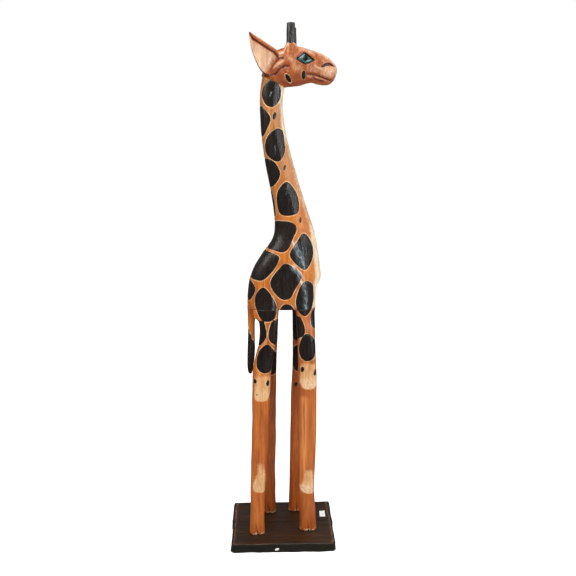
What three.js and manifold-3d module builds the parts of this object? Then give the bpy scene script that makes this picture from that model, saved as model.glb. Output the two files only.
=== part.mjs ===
// A tall giraffe carved in light wood, standing on a dark wooden board.
//
// Units are millimetres, +Z is up and the giraffe faces +X, so its right flank looks along -Y.
// The origin is the middle of the board's underside.
//
// The figure is put together as a carver's workshop would do it: torso and neck are one long block,
// the head is a second block dowelled on the neck, and each leg is a post dowelled under the belly.
// Ears, horns and tail are small carvings glued in by their own tenons. One screw from under the
// board goes up into each foot.
import * as THREE from "three";
import { ParametricGeometry } from "three/addons/geometries/ParametricGeometry.js";
import { mergeVertices } from "three/addons/utils/BufferGeometryUtils.js";
import Module from "manifold-3d";

const wasm = await Module();
wasm.setup();

// ---------------------------------------------------------------------------------------------
// Driving dimensions
// ---------------------------------------------------------------------------------------------

// Gap left for glue round every dowel, tenon and screw, and between two carved faces.
const glueGap = 0.3;

// Spare depth at the end of every blind hole.
const endRoom = 1;

// The board: its outline, its thickness, the radius of its corners and the rounding of its edges.
const board = { length: 205, width: 154, thickness: 19, cornerRadius: 4, edgeRound: 2 };

// How far the figure stands behind the middle of the board.
const figureShift = 9;

// The legs, from the board up to the belly. Each row is [share of the height, half length in X,
// half thickness in Y, squareness, how far the leg bows forward of the straight line].
const legHeight = 461;
const foreLeg = [
  [0, 17.2, 14.5, 3, 0],
  [0.08, 16.3, 14, 3, -0.8],
  [0.19, 15.2, 13.4, 3.2, -1.3],
  [0.37, 17.2, 14.4, 3.4, 0.2],
  [0.6, 18.6, 15.2, 3.2, 1.8],
  [0.72, 18.1, 16.2, 3, 2.6],
  [0.85, 17.6, 16.6, 2.7, 1.4],
  [1, 18.6, 17, 2.4, 0],
];
const hindLeg = [
  [0, 14.8, 14.5, 3, 0],
  [0.19, 14.3, 13.4, 3.2, -3.2],
  [0.37, 15.8, 14.2, 3.4, -3.6],
  [0.6, 17, 15, 3.2, -5.8],
  [0.72, 18.3, 16.2, 3, -6.2],
  [0.79, 17.8, 16.4, 2.9, -3],
  [0.85, 17, 16.6, 2.8, 1.8],
  [0.91, 17.6, 17, 2.8, 3],
  [1, 20, 18.5, 2.8, 0],
];

// Where each leg stands on the board and where it meets the belly, as [X, Y] of its middle.
const legPlaces = {
  fore_right: { foot: [50.9, -30], belly: [43.5, -18.5], rows: foreLeg, bowed: 1 },
  fore_left: { foot: [30, 44], belly: [38, 18.5], rows: foreLeg, bowed: 1 },
  hind_right: { foot: [-53, -42], belly: [-28, -21], rows: hindLeg, bowed: 1 },
  hind_left: { foot: [-29, 38], belly: [-27, 21], rows: hindLeg, bowed: 0.4 },
};

// Torso and neck, from the belly up to the joint with the head. Each row is
// [share of the height, back X, front X, half thickness in Y, squareness, ridge X, bevel]. In front
// of the ridge the flanks draw together, by the share that the bevel gives.
// The joint with the head slopes: it is higher at the nape than at the throat.
const trunkHeight = 412;
const neckSlope = -0.5;
const neckSlopeFrom = 0.8;
const jointTurn = -THREE.MathUtils.radToDeg(Math.atan(neckSlope));
const trunkSections = [
  [0, -68.5, 64.5, 39, 3.4, 42, 0.34],
  [0.05, -68.2, 64.5, 42, 3.2, 42, 0.36],
  [0.095, -66.6, 66, 42.6, 3.1, 41.6, 0.38],
  [0.125, -64.9, 72, 43, 3, 41.2, 0.47],
  [0.15, -62, 74.3, 43, 3, 40.8, 0.5],
  [0.2, -53, 72, 42.5, 2.9, 40, 0.5],
  [0.26, -37, 68.5, 40.5, 2.8, 38, 0.47],
  [0.31, -21.5, 65, 37.5, 2.7, 36, 0.43],
  [0.36, -15, 60.5, 34.5, 2.6, 32, 0.4],
  [0.45, -16.5, 48, 30.5, 2.5, 22, 0.34],
  [0.55, -23, 35, 27.5, 2.4, 10, 0.3],
  [0.65, -31, 22.5, 25, 2.4, 0, 0.3],
  [0.75, -37, 11, 23, 2.4, -9, 0.3],
  [0.85, -41, 3, 21.5, 2.4, -16, 0.28],
  [0.93, -40.8, 0.5, 20.5, 2.4, -17, 0.25],
  [1, -36.2, 3.6, 20, 2.4, -14, 0.2],
];

// The head, measured from the neck joint. Each row is
// [X, underside Z, top Z, half thickness in Y, squareness]. Below the joint it is cut away. The
// sections crowd together towards the muzzle by this power.
const headCrowding = 1.4;
const headSections = [
  [-37.5, 0, 20, 17.5, 2.4],
  [-31, -6, 36, 20, 2.4],
  [-20, -9, 52, 21.5, 2.4],
  [-9, -7, 61, 22.5, 2.4],
  [4, -2.5, 67, 23.5, 2.4],
  [18, -2.5, 69, 24.5, 2.4],
  [33, 1, 69, 25.5, 2.3],
  [44, 5.5, 66, 24, 2.3],
  [54, 7, 63, 20.5, 2.3],
  [64, 4.5, 60, 17, 2.3],
  [75, 3, 56, 16, 2.4],
  [85, 4, 50, 15.5, 2.4],
  [92, 8.5, 43, 13.5, 2.4],
  [97, 16, 37.5, 9.5, 2.3],
  [99.5, 23, 33, 4.5, 2.2],
];

// The carved features on both sides of the head, as [X, Z] from the neck joint.
const eye = { outline: [[22, 44.5], [39, 56], [58, 41], [40, 34]], depth: 2.2 };
const mouth = { line: [[46, 18.5], [59, 18], [72, 13.2], [85, 8]], width: 1.8, depth: 4 };
const nostril = { centre: [82, 35], length: 17, height: 5, depth: 5 };

// Horns: a black peg in a collar, the left one set a little forward and a little shorter.
const horn = {
  baseDiameter: 16,
  tipDiameter: 14.6,
  tipRound: 1.6,
  tenonDiameter: 8,
  tenonDepth: 14,
  spacing: 27,
};
const hornPlaces = {
  right: { x: 15.5, length: 34 },
  left: { x: 18.5, length: 31 },
};
const collar = { top: 74, flare: 6, height: 12 };

// Ears: a leaf [X, Z] from the neck joint, hollowed on its outer face and turned out from the head.
const ear = {
  tip: [-58, 87],
  thickness: 10,
  heel: [-29, 15],
  root: [-4, 32],
  crest: [-9, 58],
  bends: { back: [[-60, 52], [-48, 32]], under: [-15, 14], front: [-1, 46], top: [-31, 63.5] },
  tipWidth: 3,
  splay: 17,
  faceY: 29,
  hollow: { halfLength: 15, halfHeight: 30, depth: 6, tilt: 32, at: [-33, 47] },
  tenonDiameter: 8,
  tenonDepth: 14,
  tenonAt: [-12, 40],
};

// How far each ear sits forward and up from the place above. The two are set by hand, not alike.
const earShifts = { right: [0, 0], left: [3, 5] };

// Tail, which hangs along the hind leg: [share of the leg's height, X, Y, half length in X,
// half thickness in Y, squareness].
const tailSections = [
  [0.718, -64.2, -22, 2.6, 3, 2],
  [0.7375, -63.7, -22, 5.2, 5.5, 2.2],
  [0.7896, -62.3, -21, 6.8, 7, 2.3],
  [0.846, -61.2, -18, 7, 6.6, 2.4],
  [0.8894, -61, -12, 6.6, 6.3, 2.4],
  [0.9458, -61.2, -4, 7, 6.8, 2.5],
  [1, -61, 0, 8, 8.5, 2.6],
];
const tailTenon = { diameter: 8, depth: 20 };

// Dowels: one in each leg joint and one in the neck joint, each half its length in either piece.
const dowel = { diameter: 12, length: 60, chamfer: 1.2 };
const neckDowelX = -16;

// Countersunk screws from under the board into the feet.
const screw = {
  length: 50,
  shankDiameter: 4.5,
  headDiameter: 9,
  headHeight: 3,
  pointLength: 6,
  recess: 1,
  slotLength: 5.8,
  slotWidth: 1.1,
  slotDepth: 1.6,
};

// A small blank paper label on the board.
const label = { length: 11.5, width: 22, thickness: 0.3, corner: 1.5, at: [84.3, 28.8] };

// ---------------------------------------------------------------------------------------------
// Materials
// ---------------------------------------------------------------------------------------------

const paint = (color, roughness, metalness = 0) =>
  new THREE.MeshStandardMaterial({ color, roughness, metalness });
const materials = {
  amberWood: paint(0xc47a3e, 0.4),
  rosyWood: paint(0xc58a63, 0.42),
  blackWood: paint(0x1d1a1a, 0.35),
  boardWood: paint(0x241d1a, 0.45),
  rawWood: paint(0xd8b98a, 0.75),
  steel: paint(0xa8aaad, 0.35, 1),
  paper: paint(0xf2efe8, 0.8),
};

// ---------------------------------------------------------------------------------------------
// Solids
// ---------------------------------------------------------------------------------------------

// How far a cutter stands proud of the face that it goes in by.
const overcut = 1;

// Sides of a small round piece, of a horn and of a screw.
const roundSides = 20;
const hornSides = 24;
const screwSides = 16;

// A three.js geometry as a manifold-3d solid, with only its corner points kept.
function solidOf(geometry) {
  const bare = geometry.clone();
  bare.deleteAttribute("normal");
  bare.deleteAttribute("uv");
  const merged = mergeVertices(bare, 1e-4);
  return new wasm.Manifold(
    new wasm.Mesh({
      numProp: 3,
      vertProperties: merged.attributes.position.array,
      triVerts: new Uint32Array(merged.index.array),
    }),
  );
}

// The way back: a solid as a geometry that three.js can draw.
function geometryOf(solid) {
  const mesh = solid.getMesh();
  const geometry = new THREE.BufferGeometry();
  geometry.setAttribute("position", new THREE.BufferAttribute(mesh.vertProperties, 3));
  geometry.setIndex(new THREE.BufferAttribute(mesh.triVerts, 1));
  geometry.computeVertexNormals();
  return geometry;
}

// A named mesh from a solid.
function piece(name, solid, material) {
  const mesh = new THREE.Mesh(geometryOf(solid), material);
  mesh.name = name;
  return mesh;
}

// A smooth line through the rows: it takes a position in column 0 and gives the value of another
// column, with Catmull-Rom slopes.
function through(rows, column) {
  const slope = (i) => {
    const a = rows[Math.max(i - 1, 0)];
    const b = rows[Math.min(i + 1, rows.length - 1)];
    return (b[column] - a[column]) / (b[0] - a[0]);
  };
  return (at) => {
    const last = rows.length - 2;
    const found = rows.findIndex((row) => row[0] > at) - 1;
    const i = found < 0 ? last : Math.min(found, last);
    const width = rows[i + 1][0] - rows[i][0];
    const t = THREE.MathUtils.clamp((at - rows[i][0]) / width, 0, 1);
    const rise = rows[i + 1][column] - rows[i][column];
    const bend = (1 - t) * (slope(i) * width - rise) - t * (slope(i + 1) * width - rise);
    return rows[i][column] + t * rise + t * (1 - t) * bend;
  };
}

// A closed skin round a row of flat superellipse sections. section(s) gives, for s from 0 to 1, the
// middle x, y, z, the half lengths a and b and the squareness n. The sections lie across Z, with a
// along X and b along Y: z rises by slope for each unit of X from x = 0, and in front of ridge the
// half length b shrinks evenly by the share bevel. Or they stand upright across X, with a along Z
// and b along Y.
function skin(section, around, levels, upright = false) {
  const stacks = levels + 2;
  const power = (value, n) => Math.sign(value) * Math.abs(value) ** (2 / n);
  const point = (u, v, target) => {
    const stack = Math.round(v * stacks);
    const share = THREE.MathUtils.clamp((v * stacks - 1) / levels, 0, 1);
    const { x, y, z, a, b, n, slope = 0, ridge = x + a, bevel = 0 } = section(share);
    const reach = stack === 0 || stack === stacks ? 0 : 1;
    const angle = 2 * Math.PI * u;
    const first = reach * a * power(Math.cos(angle), n);
    const past = bevel && Math.max(0, (x + first - ridge) / (x + a - ridge));
    const second = reach * b * power(Math.sin(angle), n) * (1 - bevel * past);
    if (upright) target.set(x, y - second, z + first);
    else target.set(x + first, y + second, z + slope * (x + first));
  };
  return solidOf(new ParametricGeometry(point, around, stacks));
}

// A solid turned about +Z from a profile of [radius, height] points that starts and ends on the axis.
function turned(profile, around) {
  const points = profile.map(([radius, height]) => new THREE.Vector2(radius, height));
  const geometry = new THREE.LatheGeometry(points, around);
  geometry.rotateX(Math.PI / 2);
  return solidOf(geometry);
}

// A plain round rod or hole from z = from to z = to.
const rod = (radius, from, to, around = roundSides) =>
  turned([[0, from], [radius, from], [radius, to], [0, to]], around);

// A flat shape drawn in X and Z and given a thickness along Y, from y = near to y = near + depth.
function slab(shape, near, depth, curveSegments = 12) {
  const geometry = new THREE.ExtrudeGeometry(shape, { depth, bevelEnabled: false, curveSegments });
  geometry.rotateX(Math.PI / 2);
  geometry.translate(0, near + depth, 0);
  return solidOf(geometry);
}

const shapeOf = (points) => new THREE.Shape(points.map(([x, y]) => new THREE.Vector2(x, y)));

// ---------------------------------------------------------------------------------------------
// Legs, standing on z = 0 of the figure's frame
// ---------------------------------------------------------------------------------------------

function legSolid({ foot, belly, rows, bowed }, grow = 0) {
  const [halfX, halfY, square, bow] = [1, 2, 3, 4].map((column) => through(rows, column));
  const height = legHeight - glueGap;
  const section = (s) => ({
    x: THREE.MathUtils.lerp(foot[0], belly[0], s) + bowed * bow(s),
    y: THREE.MathUtils.lerp(foot[1], belly[1], s),
    z: s * height,
    a: halfX(s) + grow,
    b: halfY(s) + grow,
    n: square(s),
  });
  return skin(section, 20, 16);
}

// The hole for half a dowel, going down from the joint or up from it.
function dowelHole(x, y, jointZ, upwards) {
  const depth = dowel.length / 2 + endRoom;
  const hole = upwards
    ? rod(dowel.diameter / 2 + glueGap, -overcut, depth)
    : rod(dowel.diameter / 2 + glueGap, -depth, overcut);
  return hole.translate([x, y, jointZ]);
}

function dowelSolid() {
  const radius = dowel.diameter / 2;
  const half = dowel.length / 2;
  const tip = radius - dowel.chamfer;
  const shoulder = half - dowel.chamfer;
  return turned(
    [[0, -half], [tip, -half], [radius, -shoulder], [radius, shoulder], [tip, half], [0, half]],
    roundSides,
  );
}

// The blind hole in the sole of a foot for the part of a screw that stands above the board.
function screwHole() {
  const depth = screw.recess + screw.length - board.thickness + endRoom;
  return rod(screw.shankDiameter / 2 + glueGap, -overcut, depth, screwSides);
}

function legPiece(side) {
  const place = legPlaces[side];
  const shaped = legSolid(place)
    .subtract(dowelHole(...place.belly, legHeight, false))
    .subtract(screwHole().translate([...place.foot, 0]));
  return piece(`leg_${side}`, shaped, materials.amberWood);
}

// ---------------------------------------------------------------------------------------------
// Torso and neck
// ---------------------------------------------------------------------------------------------

function trunkSolid() {
  const columns = [1, 2, 3, 4, 5, 6].map((column) => through(trunkSections, column));
  const [back, front, half, square, ridge, bevel] = columns;
  const section = (s) => ({
    x: (back(s) + front(s)) / 2,
    y: 0,
    z: s * (trunkHeight - glueGap),
    a: (front(s) - back(s)) / 2,
    b: half(s),
    n: square(s),
    ridge: ridge(s),
    bevel: bevel(s),
    slope: neckSlope * THREE.MathUtils.smoothstep(s, neckSlopeFrom, 1),
  });
  return skin(section, 38, 28).translate([0, 0, legHeight]);
}

// Half of the neck dowel's hole, square to the sloping joint, in a frame whose origin is the joint's
// height at X = 0.
function neckDowelHole(upwards) {
  const hole = dowelHole(0, 0, 0, upwards).rotate([0, jointTurn, 0]);
  return hole.translate([neckDowelX, 0, neckSlope * neckDowelX]);
}

function trunkPiece() {
  const top = tailSections[tailSections.length - 1];
  const tenonHole = rod(tailTenon.diameter / 2 + glueGap, -overcut, tailTenon.depth + endRoom);
  const jointHeight = legHeight + trunkHeight;
  let shaped = trunkSolid().subtract(neckDowelHole(false).translate([0, 0, jointHeight]));
  for (const { belly } of Object.values(legPlaces))
    shaped = shaped.subtract(dowelHole(...belly, legHeight, true));
  shaped = shaped.subtract(tenonHole.translate([top[1], top[2], legHeight]));
  return piece("torso_and_neck", shaped, materials.amberWood);
}

// ---------------------------------------------------------------------------------------------
// Tail
// ---------------------------------------------------------------------------------------------

function tailPiece() {
  const columns = [1, 2, 3, 4, 5].map((column) => through(tailSections, column));
  const low = tailSections[0][0];
  const section = (s) => {
    const share = THREE.MathUtils.lerp(low, 1, s);
    const [x, y, a, b, n] = columns.map((value) => value(share));
    return { x, y, z: share * legHeight - glueGap, a, b, n };
  };
  const top = tailSections[tailSections.length - 1];
  const tenon = rod(tailTenon.diameter / 2, -overcut, tailTenon.depth)
    .translate([top[1], top[2], legHeight]);
  const shaped = skin(section, 16, 14)
    .add(tenon)
    .subtract(legSolid(legPlaces.hind_right, glueGap));
  return piece("tail", shaped, materials.amberWood);
}

// ---------------------------------------------------------------------------------------------
// Head, with z = 0 at the joint on the neck
// ---------------------------------------------------------------------------------------------

function headBlock(grow = 0) {
  const columns = [1, 2, 3, 4].map((column) => through(headSections, column));
  const back = headSections[0][0];
  const nose = headSections[headSections.length - 1][0];
  const section = (s) => {
    const x = THREE.MathUtils.lerp(back, nose, 1 - (1 - s) ** headCrowding);
    const [low, top, half, n] = columns.map((value) => value(x));
    return { x, y: 0, z: (low + top) / 2, a: (top - low) / 2 + grow, b: half + grow, n };
  };
  const wide = 2 * (nose - back);
  const belowJoint = solidOf(new THREE.BoxGeometry(wide, wide, wide))
    .translate([0, 0, -wide / 2])
    .rotate([0, jointTurn, 0]);
  return skin(section, 28, 24, true).subtract(belowJoint);
}

// The collar that the head is carved up to round each horn.
function collarSolid({ x }, side) {
  const inner = horn.baseDiameter / 2;
  const low = collar.top - collar.height;
  return turned(
    [[0, low], [inner + collar.flare, low], [inner + collar.flare / 3, low + collar.height / 2],
      [inner, collar.top], [0, collar.top]],
    hornSides,
  ).translate([x, side * horn.spacing / 2, 0]);
}

function hornSocket({ x }, side) {
  const depth = horn.tenonDepth + endRoom;
  const socket = rod(horn.tenonDiameter / 2 + glueGap, collar.top - depth, collar.top + overcut);
  return socket.translate([x, side * horn.spacing / 2, 0]);
}

// A prism of the given outline that goes depth deep into one side of the head, measured from the
// head's surface at x.
function carvedIn(outline, x, depth, side) {
  const half = through(headSections, 3)(x);
  return slab(shapeOf(outline), side < 0 ? -2 * half : half - depth, half + depth);
}

const eyeHollow = (side) => carvedIn(eye.outline, eye.outline[1][0], eye.depth, side);

// The mouth: a narrow band along the line between the lips.
function mouthSlit(side) {
  const upper = mouth.line.map(([x, z]) => [x, z + mouth.width / 2]);
  const lower = mouth.line.map(([x, z]) => [x, z - mouth.width / 2]).reverse();
  return carvedIn([...upper, ...lower], mouth.line[2][0], mouth.depth, side);
}

function nostrilHollow(side) {
  const half = through(headSections, 3)(nostril.centre[0]);
  const ball = solidOf(new THREE.SphereGeometry(1, 14, 10));
  return ball
    .scale([nostril.length / 2, nostril.depth, nostril.height / 2])
    .translate([nostril.centre[0], side * half, nostril.centre[1]]);
}

// The round tenon that holds an ear, lying along Y from the ear into the head.
function earTenon(name, side, clearance) {
  const [x, z] = ear.tenonAt.map((value, i) => value + earShifts[name][i]);
  const inner = ear.faceY - ear.thickness - ear.tenonDepth - (clearance ? endRoom : 0);
  const pin = rod(ear.tenonDiameter / 2 + clearance, inner, ear.faceY - ear.thickness / 2);
  return pin.rotate([-side * 90, 0, 0]).translate([x, 0, z]);
}

function headPiece() {
  let shaped = headBlock();
  for (const [name, side] of [["right", -1], ["left", 1]]) {
    shaped = shaped
      .add(collarSolid(hornPlaces[name], side))
      .subtract(hornSocket(hornPlaces[name], side))
      .subtract(eyeHollow(side))
      .subtract(mouthSlit(side))
      .subtract(nostrilHollow(side))
      .subtract(earTenon(name, side, glueGap));
  }
  return piece("head", shaped.subtract(neckDowelHole(true)), materials.rosyWood);
}

// ---------------------------------------------------------------------------------------------
// Ears and horns, in the head's frame
// ---------------------------------------------------------------------------------------------

// The leaf of an ear, from its wide root beside the head to its tip.
function earShape() {
  const { tip, heel, root, crest, bends, tipWidth } = ear;
  const shape = new THREE.Shape();
  shape.moveTo(...tip);
  shape.bezierCurveTo(...bends.back[0], ...bends.back[1], ...heel);
  shape.quadraticCurveTo(...bends.under, ...root);
  shape.quadraticCurveTo(...bends.front, ...crest);
  shape.quadraticCurveTo(...bends.top, tip[0] + tipWidth, tip[1]);
  shape.closePath();
  return shape;
}

function earPiece(name, side) {
  const near = side < 0 ? -ear.faceY : ear.faceY - ear.thickness;
  const leaf = slab(earShape(), near, ear.thickness);
  const { halfLength, halfHeight, depth, tilt, at } = ear.hollow;
  const bowl = solidOf(new THREE.SphereGeometry(1, 20, 12))
    .scale([halfLength, depth, halfHeight])
    .rotate([0, -tilt, 0])
    .translate([at[0], side * ear.faceY, at[1]]);
  const [forward, up] = earShifts[name];
  const turnedOut = leaf
    .subtract(bowl)
    .translate([-ear.root[0], -side * ear.faceY, 0])
    .rotate([0, 0, -side * ear.splay])
    .translate([ear.root[0] + forward, side * ear.faceY, up]);
  const shaped = turnedOut.subtract(headBlock(glueGap)).add(earTenon(name, side, 0));
  return piece(`ear_${name}`, shaped, materials.rosyWood);
}

function hornPiece(name, side) {
  const { x, length } = hornPlaces[name];
  const [base, tip, tenon] = [horn.baseDiameter, horn.tipDiameter, horn.tenonDiameter].map((d) => d / 2);
  const profile = [
    [0, -horn.tenonDepth],
    [tenon, -horn.tenonDepth],
    [tenon, glueGap],
    [base, glueGap],
    [tip, length - horn.tipRound],
    [tip - horn.tipRound, length],
    [0, length],
  ];
  const place = [x, side * horn.spacing / 2, collar.top];
  const shaped = turned(profile, hornSides).translate(place);
  return piece(`horn_${name}`, shaped, materials.blackWood);
}

// ---------------------------------------------------------------------------------------------
// Board, screws and label
// ---------------------------------------------------------------------------------------------

// A rectangle with rounded corners, centred on the origin of X and Y.
function roundedRectangle(length, width, radius) {
  const [x, y] = [length / 2 - radius, width / 2 - radius];
  const quarter = Math.PI / 2;
  const shape = new THREE.Shape();
  [[x, y], [-x, y], [-x, -y], [x, -y]].forEach(([cornerX, cornerY], i) => {
    shape.absarc(cornerX, cornerY, radius, i * quarter, (i + 1) * quarter);
  });
  shape.closePath();
  return shape;
}

// The countersunk hole for a screw, from under the board right through it.
function boardHole() {
  const head = screw.headDiameter / 2 + glueGap;
  const shank = screw.shankDiameter / 2 + glueGap;
  return turned(
    [[0, -overcut], [head, -overcut], [head, screw.recess], [shank, screw.recess + screw.headHeight],
      [shank, board.thickness + overcut], [0, board.thickness + overcut]],
    screwSides,
  );
}

function screwPiece(side) {
  const head = screw.headDiameter / 2;
  const shank = screw.shankDiameter / 2;
  const top = screw.recess + screw.length;
  const body = turned(
    [[0, screw.recess], [head, screw.recess], [shank, screw.recess + screw.headHeight],
      [shank, top - screw.pointLength], [0, top]],
    screwSides,
  );
  const bar = solidOf(new THREE.BoxGeometry(screw.slotLength, screw.slotWidth, 2 * screw.slotDepth))
    .translate([0, 0, screw.recess]);
  const [x, y] = legPlaces[side].foot;
  const shaped = body.subtract(bar).subtract(bar.rotate([0, 0, 90]));
  return piece(`screw_${side}`, shaped.translate([x, y + figureShift, 0]), materials.steel);
}

function boardPiece() {
  const { length, width, thickness, cornerRadius, edgeRound } = board;
  const outline = roundedRectangle(length - 2 * edgeRound, width - 2 * edgeRound, cornerRadius - edgeRound);
  const plank = new THREE.ExtrudeGeometry(outline, {
    depth: thickness - 2 * edgeRound,
    bevelThickness: edgeRound,
    bevelSize: edgeRound,
    bevelSegments: 3,
    curveSegments: 4,
  });
  plank.translate(0, 0, edgeRound);
  let shaped = solidOf(plank);
  for (const { foot } of Object.values(legPlaces))
    shaped = shaped.subtract(boardHole().translate([foot[0], foot[1] + figureShift, 0]));
  return piece("base_board", shaped, materials.boardWood);
}

function labelPiece() {
  const sheet = new THREE.ExtrudeGeometry(roundedRectangle(label.length, label.width, label.corner), {
    depth: label.thickness,
    bevelEnabled: false,
    curveSegments: 3,
  });
  const mesh = piece("blank_label", solidOf(sheet), materials.paper);
  mesh.position.set(...label.at, board.thickness);
  return mesh;
}

// ---------------------------------------------------------------------------------------------
// Assembly
// ---------------------------------------------------------------------------------------------

const giraffe = new THREE.Group();
giraffe.add(boardPiece(), labelPiece());

const figure = new THREE.Group();
figure.position.set(0, figureShift, board.thickness);
giraffe.add(figure);
figure.add(trunkPiece(), tailPiece());
for (const [side, { belly }] of Object.entries(legPlaces)) {
  const pin = piece(`dowel_${side}`, dowelSolid(), materials.rawWood);
  pin.position.set(...belly, legHeight);
  figure.add(legPiece(side), pin);
  giraffe.add(screwPiece(side));
}

const headFrame = new THREE.Group();
headFrame.position.set(0, 0, legHeight + trunkHeight);
figure.add(headFrame);
const neckDowel = piece("dowel_neck", dowelSolid(), materials.rawWood);
neckDowel.position.set(neckDowelX, 0, neckSlope * neckDowelX);
neckDowel.rotation.y = -Math.atan(neckSlope);
headFrame.add(headPiece(), neckDowel);
for (const [name, side] of [["right", -1], ["left", 1]])
  headFrame.add(earPiece(name, side), hornPiece(name, side));

export default giraffe;
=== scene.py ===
# A tall giraffe carved in light wood, painted with dark patches, on a dark wooden board.
#
# Sizes are millimetres until a shape is put into its mesh, which is in metres. +Z is up, the
# giraffe faces +X and its right flank looks along -Y. Each piece is a closed skin: rings of points
# carried from one end to the other, with carving pressed into it along its normals.
import math

import bpy
import numpy as np
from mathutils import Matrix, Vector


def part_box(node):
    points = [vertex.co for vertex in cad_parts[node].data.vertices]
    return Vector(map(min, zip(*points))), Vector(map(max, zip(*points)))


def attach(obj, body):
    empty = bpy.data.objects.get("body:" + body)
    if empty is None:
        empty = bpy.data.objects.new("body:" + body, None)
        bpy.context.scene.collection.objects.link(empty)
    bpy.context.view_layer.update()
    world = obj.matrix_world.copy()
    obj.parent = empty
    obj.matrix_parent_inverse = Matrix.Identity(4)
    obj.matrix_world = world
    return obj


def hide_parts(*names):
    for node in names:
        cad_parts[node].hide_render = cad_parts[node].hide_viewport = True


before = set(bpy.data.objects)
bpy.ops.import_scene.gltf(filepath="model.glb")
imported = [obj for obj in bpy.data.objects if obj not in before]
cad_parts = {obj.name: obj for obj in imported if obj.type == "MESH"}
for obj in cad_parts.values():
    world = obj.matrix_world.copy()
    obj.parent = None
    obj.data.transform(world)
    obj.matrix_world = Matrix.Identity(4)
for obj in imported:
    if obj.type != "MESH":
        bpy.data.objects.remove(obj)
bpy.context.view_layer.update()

MM = 0.001


def corners(node):
    """Lowest and highest corner of a plain piece, in millimetres."""
    low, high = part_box(node)
    return np.array(low) / MM, np.array(high) / MM


# --- Camera

LOOKS_DOWN, LOOKS_ASIDE = math.radians(11.25), math.radians(1.46)

camera_data = bpy.data.cameras.new("camera")
camera_data.lens = 39.17
camera_data.sensor_width = 36
camera_data.clip_end = 50
camera = bpy.data.objects.new("camera", camera_data)
camera.location = (-0.0199, -1.19, 0.7543)
camera.rotation_euler = (math.pi / 2 - LOOKS_DOWN, 0, -LOOKS_ASIDE)
bpy.context.scene.collection.objects.link(camera)
bpy.context.scene.camera = camera

# --- Places and sections

trunk_low, trunk_high = corners("torso_and_neck")
BOARD_TOP = corners("base_board")[1][2]
BELLY_Z = trunk_low[2]
MIDDLE_Y = (trunk_low[1] + trunk_high[1]) / 2
LEG_HEIGHT = BELLY_Z - BOARD_TOP
GLUE_GAP = 0.3

# The head stands on a slanting cut that falls forwards, and the horns on collars above it.
NECK_SLOPE = -0.5
COLLAR_TOP = 74
HORNS = {"right": dict(x=15.5, length=34, side=-1), "left": dict(x=18.5, length=31, side=1)}
HORN_SPREAD = 13.5
HEAD_Z = corners("horn_right")[1][2] - HORNS["right"]["length"] - COLLAR_TOP

# Trunk: share of the height, back X, front X, half thickness, squareness, ridge X, bevel.
TRUNK = [
    [0, -68.5, 64.5, 39, 3.4, 42, 0.34],
    [0.05, -68.2, 64.5, 42, 3.2, 42, 0.36],
    [0.095, -66.6, 66, 42.6, 3.1, 41.6, 0.38],
    [0.125, -64.9, 72, 43, 3, 41.2, 0.47],
    [0.15, -62, 74.3, 43, 3, 40.8, 0.5],
    [0.2, -53, 72, 42.5, 2.9, 40, 0.5],
    [0.26, -37, 68.5, 40.5, 2.8, 38, 0.47],
    [0.31, -21.5, 65, 37.5, 2.7, 36, 0.43],
    [0.36, -15, 60.5, 34.5, 2.6, 32, 0.4],
    [0.45, -16.5, 48, 30.5, 2.5, 22, 0.34],
    [0.55, -23, 35, 27.5, 2.4, 10, 0.3],
    [0.65, -31, 22.5, 25, 2.4, 0, 0.3],
    [0.75, -37, 11, 23, 2.4, -9, 0.3],
    [0.85, -41, 3, 21.5, 2.4, -16, 0.28],
    [0.93, -40.8, 0.5, 20.5, 2.4, -17, 0.25],
    [1, -36.2, 3.6, 20, 2.4, -14, 0.2],
]

# Legs: share of the height, half length, half thickness, squareness, bow.
FORE_LEG = [
    [0, 17.2, 14.5, 3, 0],
    [0.08, 16.3, 14, 3, -0.8],
    [0.19, 15.2, 13.4, 3.2, -1.3],
    [0.37, 17.2, 14.4, 3.4, 0.2],
    [0.6, 18.6, 15.2, 3.2, 1.8],
    [0.72, 18.1, 16.2, 3, 2.6],
    [0.85, 17.6, 16.6, 2.7, 1.4],
    [1, 18.6, 17, 2.4, 0],
]
HIND_LEG = [
    [0, 14.8, 14.5, 3, 0],
    [0.19, 14.3, 13.4, 3.2, -3.2],
    [0.37, 15.8, 14.2, 3.4, -3.6],
    [0.6, 17, 15, 3.2, -5.8],
    [0.72, 18.3, 16.2, 3, -6.2],
    [0.79, 17.8, 16.4, 2.9, -3],
    [0.85, 17, 16.6, 2.8, 1.8],
    [0.91, 17.6, 17, 2.8, 3],
    [1, 20, 18.5, 2.8, 0],
]
LEGS = {
    "fore_right": dict(foot=(50.9, -30), belly=(43.5, -18.5), rows=FORE_LEG, bowed=1, side=-1),
    "fore_left": dict(foot=(30, 44), belly=(38, 18.5), rows=FORE_LEG, bowed=1, side=1),
    "hind_right": dict(foot=(-53, -42), belly=(-28, -21), rows=HIND_LEG, bowed=1, side=-1),
    "hind_left": dict(foot=(-29, 38), belly=(-27, 21), rows=HIND_LEG, bowed=0.4, side=1),
}

# Tail: share of the leg's height, X, Y, half length, half thickness, squareness.
TAIL = [
    [0.718, -64.2, -22, 2.6, 3, 2],
    [0.7375, -63.7, -22, 5.2, 5.5, 2.2],
    [0.7896, -62.3, -21, 6.8, 7, 2.3],
    [0.846, -61.2, -18, 7, 6.6, 2.4],
    [0.8894, -61, -12, 6.6, 6.3, 2.4],
    [0.9458, -61.2, -4, 7, 6.8, 2.5],
    [1, -61, 0, 8, 8.5, 2.6],
]

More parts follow.
